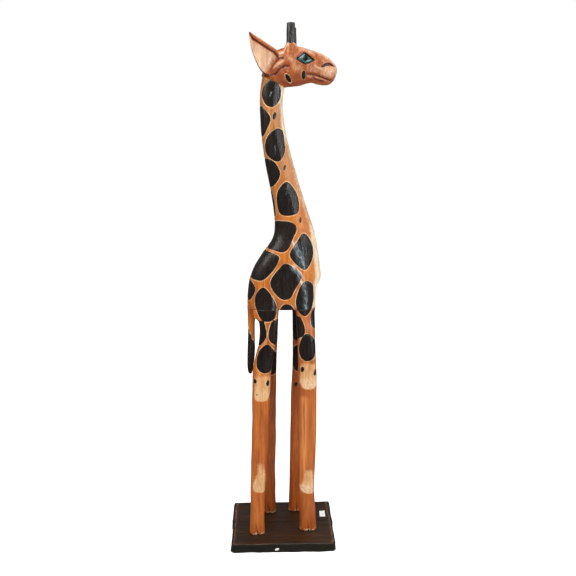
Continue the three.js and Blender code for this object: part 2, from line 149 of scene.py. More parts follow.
# Head, measured from the neck joint: X, underside, top, half thickness, squareness.
HEAD = [
    [-37.5, 0, 20, 17.5, 2.4],
    [-31, -6, 36, 20, 2.4],
    [-20, -9, 54.5, 21.5, 2.4],
    [-9, -7, 63.5, 22.5, 2.4],
    [4, -1.5, 67.5, 23.5, 2.4],
    [18, 0.3, 69, 24.5, 2.4],
    [33, 2, 69, 25.5, 2.3],
    [44, 5.5, 66, 24, 2.3],
    [54, 7, 63, 20.5, 2.3],
    [64, 4.5, 60, 17, 2.3],
    [75, 3, 56, 16, 2.4],
    [85, 4, 50, 15.5, 2.4],
    [92, 8.5, 43, 13.5, 2.4],
    [97, 16, 37.5, 9.5, 2.3],
    [99.5, 23, 33, 4.5, 2.2],
]

# Ears: how far forward, how far up, and on which side.
EAR_SHIFTS = {"right": (0, 0, -1), "left": (3, 5, 1)}

# --- Painted outlines, as X and Z on the right side. A point past the edge wraps round the piece.

TRUNK_PATCHES = [
    [(-19, 901.5), (-9.5, 897.5), (-3, 885), (-4, 870), (-12, 857.5), (-22, 854.5),
     (-32, 861), (-37.5, 879), (-30, 896)],
    [(-40, 857.5), (-29.5, 847.5), (-21.5, 833.5), (-28, 817.5), (-36, 803), (-52, 806),
     (-58, 830), (-54, 853)],
    [(-10, 816.5), (1, 812.5), (4, 793), (4.5, 775), (-3, 760.5), (-14, 758.5), (-29.5, 771),
     (-32.5, 785.5), (-26, 805)],
    [(-31, 763), (-17.5, 758.5), (-7.5, 746), (-4.5, 734), (-10.5, 720.5), (-21, 711),
     (-40, 712), (-46, 738), (-44, 760)],
    [(6.5, 721), (21, 709), (30, 689.5), (30, 667), (15.5, 659), (-4, 661.5), (-10.5, 677.5),
     (-9.5, 702)],
    [(-21, 703), (-17, 689), (-14.5, 672), (-14, 656), (-30, 655), (-44, 658), (-46, 700),
     (-32, 704)],
    [(-16, 646), (1, 649), (20.5, 644.5), (26, 633.5), (20.5, 619.5), (10.5, 598.5), (-1, 591.5),
     (-18.5, 595), (-30, 599), (-52, 610), (-40, 640)],
    [(38.5, 626), (52.5, 612.5), (58.5, 590.5), (53.5, 569.5), (43, 558), (27.5, 566.5),
     (13, 586.5), (24, 607.5)],
    [(-30, 592), (-10, 585.5), (-8, 575.5), (-19, 556), (-37, 539), (-51.5, 538), (-63, 544),
     (-84, 558), (-66, 588)],
    [(6, 570.5), (26.5, 558), (35.5, 545), (22.5, 519.5), (13, 503.5), (-3, 502.5),
     (-20, 521), (-22.5, 539.5), (-6.5, 561.5)],
    [(-61, 534.5), (-52.5, 521.5), (-58, 506), (-66, 497), (-86, 503), (-84, 530)],
    [(-37, 525), (-23.5, 512), (-13, 491), (-13, 469.5), (-23, 459), (-36, 458.5), (-45, 467),
     (-53, 492), (-50, 512.5)],
    [(45, 536.5), (58.5, 525), (60, 496.5), (54, 476), (41, 467.5), (27, 481.5),
     (25, 502.5), (34.5, 528)],
    [(-7, 476), (0, 490), (10, 492), (18, 487), (21, 476), (6, 466)],
]

# Painted highlights, pale streaks where light glances off the trunk: a line, its width, and how
# strongly.
PAINTED_SHEEN_LINES = [
    ([(22, 608), (31, 588), (39, 563)], 6, 0.75),
    ([(20, 564), (31, 551), (37, 534)], 5, 0.9),
    ([(38, 534), (43, 515), (44, 490), (47, 474)], 3.6, 0.9),
    ([(-19, 508), (-17.5, 492), (-19, 478)], 1.2, 0.7),
    ([(10, 714), (8, 708)], 1.6, 0.8),
    ([(8, 703), (7, 699)], 1.4, 0.6),
    ([(-20, 880), (-22.5, 873)], 1.0, 0.8),
    ([(-14, 786), (-13, 770)], 1.2, 0.35),
]

# Small dots: X, Z, half width, half height.
TRUNK_DOTS = [(-14, 839, 4, 7.4), (4, 746.5, 2.8, 5.8), (33.5, 650.3, 3.1, 6),
              (54.5, 550.5, 1.6, 2)]

HIND_PATCHES = [
    TRUNK_PATCHES[11],
    [(-42, 459), (-36, 457.5), (-31.5, 436), (-34.5, 422.5), (-45.5, 410), (-66, 406), (-78, 430),
     (-66, 460)],
    [(-10, 463), (-21, 457.5), (-27.5, 436), (-24, 418.5), (-13, 406), (8, 404), (22, 430),
     (8, 464)],
    [(-31.5, 413), (-19.5, 404.5), (-14.5, 387), (-18, 366), (-33, 356), (-47.5, 362.5),
     (-51.5, 377), (-47.5, 397.5)],
]
HIND_DOTS = [(-55, 339.5, 4.6, 5), (-29, 335.5, 4.2, 6.4), (-51, 312.5, 2.6, 1.8)]
HIND_INNER = [
    [(-38, 391), (-24, 386), (-18, 362), (-24, 340), (-38, 334), (-52, 341), (-56, 364),
     (-51, 386)],
]
HIND_INNER_DOTS = [(-22, 307, 3.4, 6), (-50, 312, 3.2, 5)]

FORE_PATCHES = [
    TRUNK_PATCHES[12],
    [(27.5, 467), (34.5, 464), (42.5, 442.5), (38.5, 428.5), (27.5, 417), (8, 408), (-6, 436),
     (8, 470)],
    [(63, 478), (56, 473), (53.5, 456), (58, 443.5), (64, 437.5), (84, 432), (98, 456), (84, 482)],
    [(47.5, 432.5), (61, 421.5), (65, 404), (61, 385), (47, 378), (34, 385.5), (30.5, 400.5),
     (36, 424)],
]
FORE_DOTS = [(37.5, 361.5, 4, 6.2), (63.5, 354, 4.4, 7.2)]
FORE_INNER = [
    [(47, 402), (60, 398), (68, 372), (61, 347), (47, 342), (33, 346), (26, 370), (32, 394)],
]
FORE_INNER_DOTS = [(38, 313, 3.6, 6), (58, 322, 3, 5)]

# Paler streaks painted where light falls down a leg: a line measured from a leg's middle, and Z.
FORE_PAINTED_LIGHT = [(-7, 300), (-6, 200), (-7, 110)]
HIND_PAINTED_LIGHT = [(-6, 420), (-4, 340)]

# Knees and fetlocks where the stain is left off.
HIND_BARE = [
    [(-56, 350), (-26, 354), (-24.5, 330), (-29.5, 303), (-42, 299), (-53, 301), (-56.5, 310),
     (-57.5, 330)],
    [(-54, 171), (-37, 168), (-35.5, 135), (-37, 112), (-50, 109.5), (-60, 115), (-61.5, 128),
     (-55, 150)],
]
FORE_BARE = [
    [(34, 376), (64, 372), (65.5, 335), (61.5, 323), (49, 320.5), (38, 324), (32, 337),
     (32.5, 360)],
    [(42, 152), (61, 151), (62, 125), (61.5, 103), (50, 100.5), (38, 105), (33, 116), (39, 128)],
]

# Everything drawn on a leg: patches and dots outside, patches and dots inside, bare, painted light
# streaks.
LEG_PAINT = {
    "fore": (FORE_PATCHES, FORE_DOTS, FORE_INNER, FORE_INNER_DOTS, FORE_BARE, FORE_PAINTED_LIGHT),
    "hind": (HIND_PATCHES, HIND_DOTS, HIND_INNER, HIND_INNER_DOTS, HIND_BARE, HIND_PAINTED_LIGHT),
}

# --- Arithmetic on whole arrays

# Distances are cut off here, because nothing is drawn further from a line than this.
FAR = 12.0
ROUND = 2 * np.pi


def bell(value, width):
    """A soft bump: 1 at 0, and about a third at the width."""
    return np.exp(-((value / width) ** 2))


def turns(rounds):
    """Equal angles once round a piece."""
    return ROUND * np.arange(rounds)[None] / rounds


def smooth(value, low, high):
    """0 below low, 1 above high, with an S-shaped rise between them; low may be the larger."""
    share = np.clip((value - low) / (high - low), 0, 1)
    return share * share * (3 - 2 * share)


def through(rows, column):
    """A smooth line through the rows, with Catmull-Rom slopes, from column 0 to another column."""
    at, value = np.array(rows, float)[:, [0, column]].T
    slope = np.empty_like(value)
    slope[1:-1] = (value[2:] - value[:-2]) / (at[2:] - at[:-2])
    slope[0] = (value[1] - value[0]) / (at[1] - at[0])
    slope[-1] = (value[-1] - value[-2]) / (at[-1] - at[-2])

    def line(where):
        i = np.clip(np.searchsorted(at, where, side="right") - 1, 0, len(at) - 2)
        width, rise = at[i + 1] - at[i], value[i + 1] - value[i]
        t = np.clip((where - at[i]) / width, 0, 1)
        bend = (1 - t) * (slope[i] * width - rise) - t * (slope[i + 1] * width - rise)
        return value[i] + t * rise + t * (1 - t) * bend

    return line


def oval(angle, a, b, n):
    """A superellipse with half lengths a and b and squareness n, at an angle from its a axis."""
    reach = (np.abs(np.cos(angle)) ** n + np.abs(np.sin(angle)) ** n) ** (-1 / n)
    return a * np.cos(angle) * reach, b * np.sin(angle) * reach


def ripple(points, length, seed, waves=7):
    """Soft unevenness from about -1 to 1: sine waves in random directions, about length long."""
    draw = np.random.default_rng(seed)
    directions = draw.normal(size=(waves, 3))
    directions /= np.linalg.norm(directions, axis=1)[:, None]
    pitch = directions * (ROUND / (length * draw.uniform(0.7, 1.6, waves)))[:, None]
    phases = draw.uniform(0, ROUND, waves)
    return np.sin(points @ pitch.T + phases).mean(axis=-1) * 1.9


def closed_curve(points, steps=9):
    """A smooth closed outline through the points, as periodic Catmull-Rom pieces."""
    p = np.array(points, float)
    before, after, next_one = np.roll(p, 1, 0), np.roll(p, -1, 0), np.roll(p, -2, 0)
    t = (np.arange(steps) / steps)[None, :, None]
    a, b, c, d = before[:, None], p[:, None], after[:, None], next_one[:, None]
    curve = b + 0.5 * t * (c - a + t * (2 * a - 5 * b + 4 * c - d + t * (3 * (b - c) + d - a)))
    return curve.reshape(-1, 2)


def to_segments(starts, ends, x, z):
    """Distance from each point to the nearest of the segments."""
    along = ends - starts
    px, pz = x[:, None] - starts[:, 0], z[:, None] - starts[:, 1]
    t = np.clip((px * along[:, 0] + pz * along[:, 1]) / (along ** 2).sum(1), 0, 1)
    return np.hypot(px - t * along[:, 0], pz - t * along[:, 1]).min(1)


def to_outline(curve, x, z):
    """Signed distance to a closed outline, negative inside and FAR at most."""
    found = np.full(x.shape, FAR)
    low, high = curve.min(0) - FAR, curve.max(0) + FAR
    near = (x > low[0]) & (x < high[0]) & (z > low[1]) & (z < high[1])
    px, pz = x[near], z[near]
    ends = np.roll(curve, -1, 0)
    distance = to_segments(curve, ends, px, pz)
    crosses = (curve[:, 1] > pz[:, None]) != (ends[:, 1] > pz[:, None])
    rise = np.where(ends[:, 1] == curve[:, 1], 1e-9, ends[:, 1] - curve[:, 1])
    reach = curve[:, 0] + (pz[:, None] - curve[:, 1]) * (ends[:, 0] - curve[:, 0]) / rise
    inside = (crosses & (px[:, None] < reach)).sum(1) % 2 == 1
    found[near] = np.minimum(np.where(inside, -distance, distance), FAR)
    return found


def to_line(points, x, z):
    """Distance to an open line through the points, FAR at most."""
    p = np.array(points, float)
    flat = to_segments(p[:-1], p[1:], x.ravel(), z.ravel())
    return np.minimum(flat.reshape(x.shape), FAR)


def near(points, width, x, z):
    """1 on an open line, fading to nothing about twice the width away."""
    return bell(to_line(points, x, z), width)


def to_dot(x, z, at, half, tilt=0.0):
    """Roughly the signed distance to an oval dot, leaning by tilt radians."""
    dx, dz = x - at[0], z - at[1]
    across = dx * math.cos(tilt) + dz * math.sin(tilt)
    up = dz * math.cos(tilt) - dx * math.sin(tilt)
    return np.minimum((np.hypot(across / half[0], up / half[1]) - 1) * min(half), FAR)


def normals_of(grid):
    """Outward normals of a skin whose rings close on themselves."""
    around = np.roll(grid, -1, 1) - np.roll(grid, 1, 1)
    along = np.gradient(grid, axis=0)
    normal = np.cross(around, along)
    normal /= np.maximum(np.linalg.norm(normal, axis=-1, keepdims=True), 1e-9)
    outwards = ((grid - grid.mean(axis=1, keepdims=True)) * normal).sum(-1)
    return normal * np.sign(outwards.mean())


def chart(grid, side):
    """Unrolls a skin from the middle of its right (-1) or left (1) flank.

    Returns how far round each point lies from there, forward positive and starting at that X, and a
    function that unrolls an outline of X and Z in the same way.
    """
    x, y, z = np.moveaxis(grid, -1, 0)
    rounds = x.shape[1]
    half = rounds // 2
    flank = rounds * (2 - side) // 4
    order = (flank - half + np.arange(rounds)) % rounds
    px, py = x[:, order], y[:, order]
    steps = np.hypot(np.diff(px, axis=1), np.diff(py, axis=1))
    length = np.concatenate([np.zeros((len(x), 1)), np.cumsum(steps, axis=1)], axis=1)
    length = (length - length[:, [half]]) * -side + px[:, [half]]
    along = np.empty_like(x)
    along[:, order] = length
    seen = slice(half // 2, half + half // 2 + 1)
    level = z[:, flank]

    def unroll(points):
        flat = []
        for at, height in points:
            row = int(np.abs(level - height).argmin())
            xs, ws = px[row, seen][::-side], length[row, seen][::-side]
            flat.append((np.interp(at, xs, ws) + at - np.clip(at, xs[0], xs[-1]), height))
        return flat

    return along, unroll


def painted(along, height, unroll, outlines, dots=()):
    """Signed distance to the nearest painted patch or dot; a dot gets hardly any cream round it."""
    lean, faster = -0.25, 6
    nearest = np.full(along.shape, FAR)
    for outline in outlines:
        nearest = np.minimum(nearest, to_outline(closed_curve(unroll(outline)), along, height))
    for x, z, wide, high in dots:
        dot = to_dot(along, height, unroll([(x, z)])[0], (wide, high), lean)
        nearest = np.minimum(nearest, np.where(dot > 0, dot * faster, dot))
    return nearest


def groove(distance):
    """The cut round a patch: a narrow V just outside its border, and the patch rounded to it."""
    cut = 0.85 * bell(distance - 0.7, 0.85)
    outside = np.maximum(cut, 0.7 * np.exp(-distance / 0.5))
    inside = 0.7 * np.exp(np.minimum(distance, 0) / 1.5)
    return -np.where(distance > 0, outside, inside)


# --- Meshes


def cap(grid, fields, rings=10):
    """Closes both ends of a skin with rings that shrink to the middle of its first and last ring.

    The last ring stays a little open, because skin closes it with a fan.
    """
    shrunk = np.linspace(0, 0.998, rings + 1)[1:, None, None]
    foot, crown = [end + (end.mean(0) - end) * shrunk for end in (grid[0], grid[-1])]
    whole = np.concatenate([foot[::-1], grid, crown])
    source = np.clip(np.arange(-rings, len(grid) + rings), 0, len(grid) - 1)
    return whole, {name: values[source] for name, values in fields.items()}


def skin(name, grid, fields, material, node):
    """Puts a capped skin into a mesh, with its fields as point attributes, and names what it is.

    Quads join each ring to the next, and a fan closes each end onto a point in its middle.
    """
    levels, rounds = grid.shape[:2]
    points = np.concatenate([grid.reshape(-1, 3), [grid[0].mean(0), grid[-1].mean(0)]]) * MM
    level, turn = np.meshgrid(np.arange(levels - 1), np.arange(rounds), indexing="ij")
    here, above, after = level * rounds, (level + 1) * rounds, (turn + 1) % rounds
    quads = np.stack([here + turn, here + after, above + after, above + turn], -1).reshape(-1, 4)
    ring = np.arange(rounds)
    onwards = (ring + 1) % rounds
    last = (levels - 1) * rounds
    middle = np.full(rounds, levels * rounds)
    bottom = np.stack([onwards, ring, middle], -1)
    top = np.stack([last + ring, last + onwards, middle + 1], -1)
    fans = np.concatenate([bottom, top])
    corner = points[quads[:, [0, 1, 2]]]
    if (np.cross(corner[:, 0], corner[:, 1]) * corner[:, 2]).sum() < 0:
        quads, fans = quads[:, ::-1], fans[:, ::-1]
    mesh = bpy.data.meshes.new(name)
    mesh.vertices.add(len(points))
    mesh.vertices.foreach_set("co", points.ravel())
    mesh.loops.add(quads.size + fans.size)
    mesh.loops.foreach_set("vertex_index", np.concatenate([quads.ravel(), fans.ravel()]))
    mesh.polygons.add(len(quads) + len(fans))
    starts = np.concatenate([np.arange(len(quads)) * 4, quads.size + np.arange(len(fans)) * 3])
    mesh.polygons.foreach_set("loop_start", starts)
    mesh.update(calc_edges=True)
    mesh.validate()
    mesh.shade_smooth()
    for label, values in fields.items():
        column = np.concatenate([values.ravel(), [values[0].mean(), values[-1].mean()]])
        made = mesh.attributes.new(label, "FLOAT", "POINT")
        made.data.foreach_set("value", column.astype(np.float32))
    mesh.materials.append(material)
    piece = bpy.data.objects.new(name, mesh)
    bpy.context.scene.collection.objects.link(piece)
    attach(piece, "root")
    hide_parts(node)
    return piece


def blank(grid):
    """The fields that every stained piece has: no patch, no bare wood, no dark line, no red."""
    nowhere, none = np.full(grid.shape[:2], FAR), np.zeros(grid.shape[:2])
    return {"patch": nowhere, "bare": none, "line": nowhere, "red": none}


# --- Nodes


def colour(red, green, blue):
    """A colour given as 0 to 255 on a screen, as the linear values that a shader takes."""
    def linear(value):
        value /= 255
        return value / 12.92 if value <= 0.04045 else ((value + 0.055) / 1.055) ** 2.4
    return (linear(red), linear(green), linear(blue), 1)


def put(tree, kind, sockets=None, **settings):
    """Adds a node. A socket's value is a number, a colour or another node's output."""
    made = tree.nodes.new(kind)
    for key, value in settings.items():
        setattr(made, key, value)
    for key, value in (sockets or {}).items():
        if isinstance(value, bpy.types.NodeSocket):
            tree.links.new(value, made.inputs[key])
        else:
            made.inputs[key].default_value = value
    return made


def blend(tree, share, first, second, kind="MIX"):
    """One colour laid over another by a share."""
    sockets = {0: share, 6: first, 7: second}
    return put(tree, "ShaderNodeMix", sockets, data_type="RGBA", blend_type=kind).outputs[2]


def between(tree, share, first, second):
    """A number that goes from the first to the second as the share rises."""
    sockets = {0: share, 2: first, 3: second}
    return put(tree, "ShaderNodeMix", sockets, data_type="FLOAT").outputs[0]


def grey(tree, value):
    """A grey as bright as the value."""
    return put(tree, "ShaderNodeCombineColor", {0: value, 1: value, 2: value}).outputs[0]


def reckon(tree, operation, first, second=0.0, clamp=False):
    """A sum of two numbers."""
    made = put(tree, "ShaderNodeMath", {0: first, 1: second}, operation=operation, use_clamp=clamp)
    return made.outputs[0]


def times_plus(tree, value, factor, added):
    """A number times a factor, and another number added to it."""
    sockets = {0: value, 1: factor, 2: added}
    return put(tree, "ShaderNodeMath", sockets, operation="MULTIPLY_ADD").outputs[0]


def rise(tree, value, low, high, least=0.0, most=1.0):
    """An S-shaped rise from least at low to most at high."""
    sockets = {"Value": value, "From Min": low, "From Max": high, "To Min": least, "To Max": most}
    made = put(tree, "ShaderNodeMapRange", sockets, interpolation_type="SMOOTHSTEP")
    return made.outputs["Result"]


def noise(tree, where, scale, detail=3.0, roughness=0.55):
    """Cloudy noise from 0 to 1, with about scale clouds in a metre."""
    sockets = {"Vector": where, "Scale": scale, "Detail": detail, "Roughness": roughness}
    return put(tree, "ShaderNodeTexNoise", sockets).outputs["Fac"]


def stretched(tree, where, factors):
    """The coordinates times the factors, which draws a pattern out along the smallest of them."""
    made = put(tree, "ShaderNodeVectorMath", {0: where, 1: factors}, operation="MULTIPLY")
    return made.outputs[0]


def field(tree, name):
    """The piece's own field of that name, or 0 on a piece without it."""
    return put(tree, "ShaderNodeAttribute", attribute_name=name).outputs["Fac"]


def new_group(name, inputs, outputs):
    """An empty shader group with named sockets. An input is a name, a kind and a value."""
    tree = bpy.data.node_groups.new(name, "ShaderNodeTree")
    for label, kind, value in inputs:
        socket = tree.interface.new_socket(label, in_out="INPUT", socket_type=kind)
        if value is not None:
            socket.default_value = value
    for label, kind in outputs:
        tree.interface.new_socket(label, in_out="OUTPUT", socket_type=kind)
    return tree, tree.nodes.new("NodeGroupInput").outputs, tree.nodes.new("NodeGroupOutput").inputs


def grain_group():
    """Wood grain along Z: slow bands of two colours, pale veins, dark fibres, and a height."""
    tree, into, out = new_group(
        "wood grain",
        [("Vector", "NodeSocketVector", None), ("Light", "NodeSocketColor", (0.6, 0.3, 0.1, 1)),
         ("Dark", "NodeSocketColor", (0.3, 0.1, 0.04, 1)), ("Contrast", "NodeSocketFloat", 1.0)],
        [("Color", "NodeSocketColor"), ("Height", "NodeSocketFloat"),
         ("Streak", "NodeSocketFloat")],
    )
    bands = noise(tree, stretched(tree, into["Vector"], (1, 1, 0.09)), 95, 3)
    fibres = noise(tree, stretched(tree, into["Vector"], (1, 1, 0.035)), 620, 4, 0.65)
    clouds = noise(tree, stretched(tree, into["Vector"], (1, 1, 0.4)), 17, 2)
    veins = noise(tree, stretched(tree, into["Vector"], (1, 1, 0.025)), 210, 2)
    clouds = reckon(tree, "MULTIPLY", clouds, 0.5)
    mottle = times_plus(tree, rise(tree, bands, 0.34, 0.66), 0.55, clouds)
    share = reckon(tree, "MULTIPLY", mottle, into["Contrast"], clamp=True)
    body = blend(tree, share, into["Light"], into["Dark"])
    body = blend(tree, rise(tree, veins, 0.53, 0.7, 0.0, 0.3), body, into["Light"], "SCREEN")
    shade = grey(tree, rise(tree, fibres, 0.3, 0.62, 0.74, 1.08))
    tree.links.new(blend(tree, 1.0, body, shade, "MULTIPLY"), out["Color"])
    tree.links.new(fibres, out["Height"])
    tree.links.new(bands, out["Streak"])
    return tree


def wear_group():
    """Uneven wear: soft cloudy spots broken up by fine specks, as a mask from 0 to 1."""
    tree, into, out = new_group(
        "uneven wear",
        [("Vector", "NodeSocketVector", None), ("Scale", "NodeSocketFloat", 40.0),
         ("Amount", "NodeSocketFloat", 0.5)],
        [("Mask", "NodeSocketFloat")],
    )
    clouds = noise(tree, into["Vector"], into["Scale"], 5, 0.7)
    low = reckon(tree, "SUBTRACT", 0.72, reckon(tree, "MULTIPLY", into["Amount"], 0.3))
    high = reckon(tree, "ADD", low, 0.09)
    tree.links.new(rise(tree, clouds, low, high), out["Mask"])
    return tree


GRAIN = grain_group()
WEAR = wear_group()


def grain(tree, where, light, dark, contrast=1.0):
    """The outputs of the wood grain group, placed with its own two colours."""
    made = put(tree, "ShaderNodeGroup", node_tree=GRAIN)
    tree.links.new(where, made.inputs["Vector"])
    made.inputs["Light"].default_value, made.inputs["Dark"].default_value = light, dark
    made.inputs["Contrast"].default_value = contrast
    return made.outputs


def wear(tree, where, scale, amount):
    """The mask of the uneven wear group."""
    made = put(tree, "ShaderNodeGroup", node_tree=WEAR)
    tree.links.new(where, made.inputs["Vector"])
    made.inputs["Scale"].default_value, made.inputs["Amount"].default_value = scale, amount
    return made.outputs["Mask"]


def new_material(name, roughness=0.4, **sockets):
    """A material with one Principled shader.

    Returns the material, its node tree, the shader and the Object coordinates.
    """
    material = bpy.data.materials.new(name)
    material.use_nodes = True
    tree = material.node_tree
    tree.nodes.clear()
    shader = put(tree, "ShaderNodeBsdfPrincipled", {"Roughness": roughness, **sockets})
    output = tree.nodes.new("ShaderNodeOutputMaterial")
    tree.links.new(shader.outputs[0], output.inputs[0])
    where = put(tree, "ShaderNodeTexCoord").outputs["Object"]
    return material, tree, shader, where


def bump(tree, shader, height, distance):
    """Fine relief in the shader's normal, distance metres deep."""
    made = put(tree, "ShaderNodeBump", {"Height": height, "Distance": distance, "Strength": 1.0})
    tree.links.new(made.outputs[0], shader.inputs["Normal"])


BARE_WOOD = (colour(234, 188, 134), colour(198, 136, 78))
BLACK_PAINT = (colour(37, 26, 20), colour(16, 9, 6))
# Colour of the paler streaks painted where light falls.
PAINTED_LIGHT_STREAK = colour(226, 150, 84)
# Red stain, also used to paint shade into folds, creases and inner faces.
RED_STAIN_AND_SHADE = colour(140, 58, 26)
CREAM_LINE = colour(238, 194, 146)
CARVED_AND_SHADED_LINE = colour(86, 30, 14)
# Colours of painted highlights, on wood and on paint.
SHEEN_ON_WOOD = colour(246, 226, 200)
SHEEN_ON_PAINT = colour(142, 162, 170)


def stained_wood(name, stain, high_stain=None, change=None, bare=BARE_WOOD):
    """Stained and varnished wood under black painted patches with a cream cut round each of them.

    The stain is a light and a dark colour, and may change to another pair between two heights.
    Paler streaks of painted light, red stain with some painted shade, bare wood with some painted
    highlight, carved lines, a painted highlight sheen and patches are laid over it by the
    piece's own fields. The borders of the last ones are ragged.
    """
    material, tree, shader, where = new_material(name, 0.36)
    low = grain(tree, where, *stain)
    wood = low["Color"]
    if high_stain:
        height = put(tree, "ShaderNodeSeparateXYZ", {0: where}).outputs[2]
        high = grain(tree, where, *high_stain)
        wood = blend(tree, rise(tree, height, *change), wood, high["Color"])
    # Paler streaks painted where light falls, along the piece's painted light lines.
    streaks = noise(tree, stretched(tree, where, (1, 1, 0.04)), 260, 3)
    streaks = rise(tree, streaks, 0.35, 0.62, 0.1, 0.75)
    painted_light = reckon(tree, "MULTIPLY", field(tree, "painted_light"), streaks)
    wood = blend(tree, painted_light, wood, PAINTED_LIGHT_STREAK)
    # Red stain, with painted shade where a piece's field darkens folds and inner faces.
    wood = blend(tree, field(tree, "red"), wood, RED_STAIN_AND_SHADE)

    ragged = reckon(tree, "SUBTRACT", noise(tree, where, 260, 3), 0.5)
    blotches = noise(tree, stretched(tree, where, (1, 1, 0.3)), 130, 4, 0.6)
    blotches = rise(tree, blotches, 0.36, 0.6, 0.68, 1.0)
    # Bare wood; on some pieces the same pale wood paints highlights along ridges and edges.
    bared = rise(tree, times_plus(tree, ragged, 0.85, field(tree, "bare")), 0.1, 0.8)
    bared = reckon(tree, "MULTIPLY", bared, blotches)
    wood = blend(tree, bared, wood, grain(tree, where, *bare, 0.8)["Color"])

    patch = times_plus(tree, ragged, 0.7, field(tree, "patch"))
    beside_patch = rise(tree, patch, 1.9, 0.9)
    rubbed = rise(tree, noise(tree, where, 55, 3), 0.38, 0.62, 0.15, 0.9)
    wood = blend(tree, reckon(tree, "MULTIPLY", beside_patch, rubbed), wood, CREAM_LINE)
    # Dark carved lines, and painted shade along an ear's lower edge.
    line = times_plus(tree, ragged, 0.6, field(tree, "line"))
    wood = blend(tree, rise(tree, line, 0.7, -0.3), wood, CARVED_AND_SHADED_LINE)

    # A painted highlight: pale brushed streaks on wood and paint, where the piece's sheen field
    # says.
    slanted = put(tree, "ShaderNodeMapping", {0: where, "Rotation": (0, 0.5, 0)}).outputs[0]
    sheen_strokes = noise(tree, stretched(tree, slanted, (1, 1, 0.22)), 420, 3, 0.6)
    sheen_strokes = rise(tree, sheen_strokes, 0.42, 0.6, 0.14, 1.0)
    painted_sheen = reckon(tree, "MULTIPLY", field(tree, "painted_sheen"), sheen_strokes)
    wood = blend(tree, painted_sheen, wood, SHEEN_ON_WOOD)
    paint = blend(tree, painted_sheen, grain(tree, where, *BLACK_PAINT)["Color"], SHEEN_ON_PAINT)
    inside = rise(tree, patch, 0.35, -0.15)
    tree.links.new(blend(tree, inside, wood, paint), shader.inputs["Base Color"])

    varnish_gloss = rise(tree, low["Streak"], 0.3, 0.7, 0.3, 0.42)
    paint_gloss = rise(tree, low["Height"], 0.3, 0.7, 0.2, 0.4)
    gloss = between(tree, inside, varnish_gloss, paint_gloss)
    tree.links.new(gloss, shader.inputs["Roughness"])
    strokes = noise(tree, stretched(tree, where, (1, 1, 0.12)), 330, 3, 0.6)
    relief = reckon(tree, "MULTIPLY", times_plus(tree, inside, 0.8, low["Height"]), strokes)
    bump(tree, shader, relief, 0.0006)
    return material, tree, shader, where


body_wood = stained_wood(
    "body_wood", (colour(209, 126, 42), colour(168, 82, 18)),
    (colour(194, 134, 76), colour(160, 94, 42)), change=(0.62, 0.8),
    bare=(colour(240, 224, 200), colour(222, 196, 160)))[0]
leg_wood = stained_wood("leg_wood", (colour(200, 108, 32), colour(142, 57, 8)))[0]
head_wood, head_tree, head_shader, head_where = stained_wood(
    "head_wood", (colour(190, 106, 42), colour(138, 60, 14)),
    bare=(colour(226, 186, 154), colour(206, 154, 116)))


def paint_eye(tree, shader, where):
    """The eye, laid over the head's wood: a black rim, a green iris with pale strokes, a pupil."""
    wood = shader.inputs["Base Color"].links[0].from_socket
    gloss = shader.inputs["Roughness"].links[0].from_socket
    edge = field(tree, "eye")
    strokes = noise(tree, stretched(tree, where, (1, 1, 2.2)), 240, 3)
    iris = blend(tree, rise(tree, strokes, 0.4, 0.62), colour(18, 76, 62), colour(70, 98, 92))
    glint = rise(tree, field(tree, "glint"), 1.0, -1.0, 0.0, 0.6)
    iris = blend(tree, glint, iris, colour(116, 150, 148))
    pupil = rise(tree, field(tree, "pupil"), 1.2, -0.8)
    iris = blend(tree, pupil, iris, colour(12, 18, 26))
    eye = blend(tree, rise(tree, edge, -3.0, -2.2), iris, colour(16, 15, 14))
    inside = rise(tree, edge, 0.5, -0.2)
    tree.links.new(blend(tree, inside, wood, eye), shader.inputs["Base Color"])
    tree.links.new(between(tree, inside, gloss, 0.16), shader.inputs["Roughness"])


paint_eye(head_tree, head_shader, head_where)


def horn_finish():
    """Black stained wood, rubbed grey in streaks down its length."""
    material, tree, shader, where = new_material("horn_wood", 0.34)
    dark = grain(tree, where, colour(30, 27, 27), colour(14, 13, 13))
    streaks = noise(tree, stretched(tree, where, (1, 1, 0.14)), 420, 4, 0.6)
    rubbed = rise(tree, streaks, 0.48, 0.68, 0, 0.75)
    worn = blend(tree, rubbed, dark["Color"], colour(112, 106, 104))
    tree.links.new(worn, shader.inputs["Base Color"])
    tree.links.new(rise(tree, streaks, 0.3, 0.7, 0.26, 0.5), shader.inputs["Roughness"])
    bump(tree, shader, dark["Height"], 0.0008)
    return material


def board_finish():
    """Brown-black stain with grain along X; its edges are rubbed and the front face has a chip."""
    material, tree, shader, where = new_material("board_wood", 0.42)
    turned = put(tree, "ShaderNodeMapping", {0: where, "Rotation": (0, math.pi / 2, 0)}).outputs[0]
    top = grain(tree, turned, colour(61, 35, 12), colour(31, 17, 4), 1.1)
    sides = grain(tree, turned, colour(34, 29, 18), colour(20, 17, 9))
    wood = blend(tree, rise(tree, field(tree, "side"), 0.3, 0.7), top["Color"], sides["Color"])
    from_rim = reckon(tree, "ABSOLUTE", field(tree, "rim"))
    worn = reckon(tree, "MULTIPLY", rise(tree, from_rim, 1.5, 0.2), 0.62)
    worn = reckon(tree, "MULTIPLY", worn, times_plus(tree, wear(tree, where, 60, 0.8), 0.5, 0.5))
    wood = blend(tree, worn, wood, colour(150, 118, 96))
    chip = rise(tree, field(tree, "chip"), 0.4, -0.3)
    tree.links.new(blend(tree, chip, wood, colour(246, 240, 230)), shader.inputs["Base Color"])
    tree.links.new(rise(tree, top["Streak"], 0.3, 0.7, 0.32, 0.5), shader.inputs["Roughness"])
    bump(tree, shader, top["Height"], 0.0008)
    return material


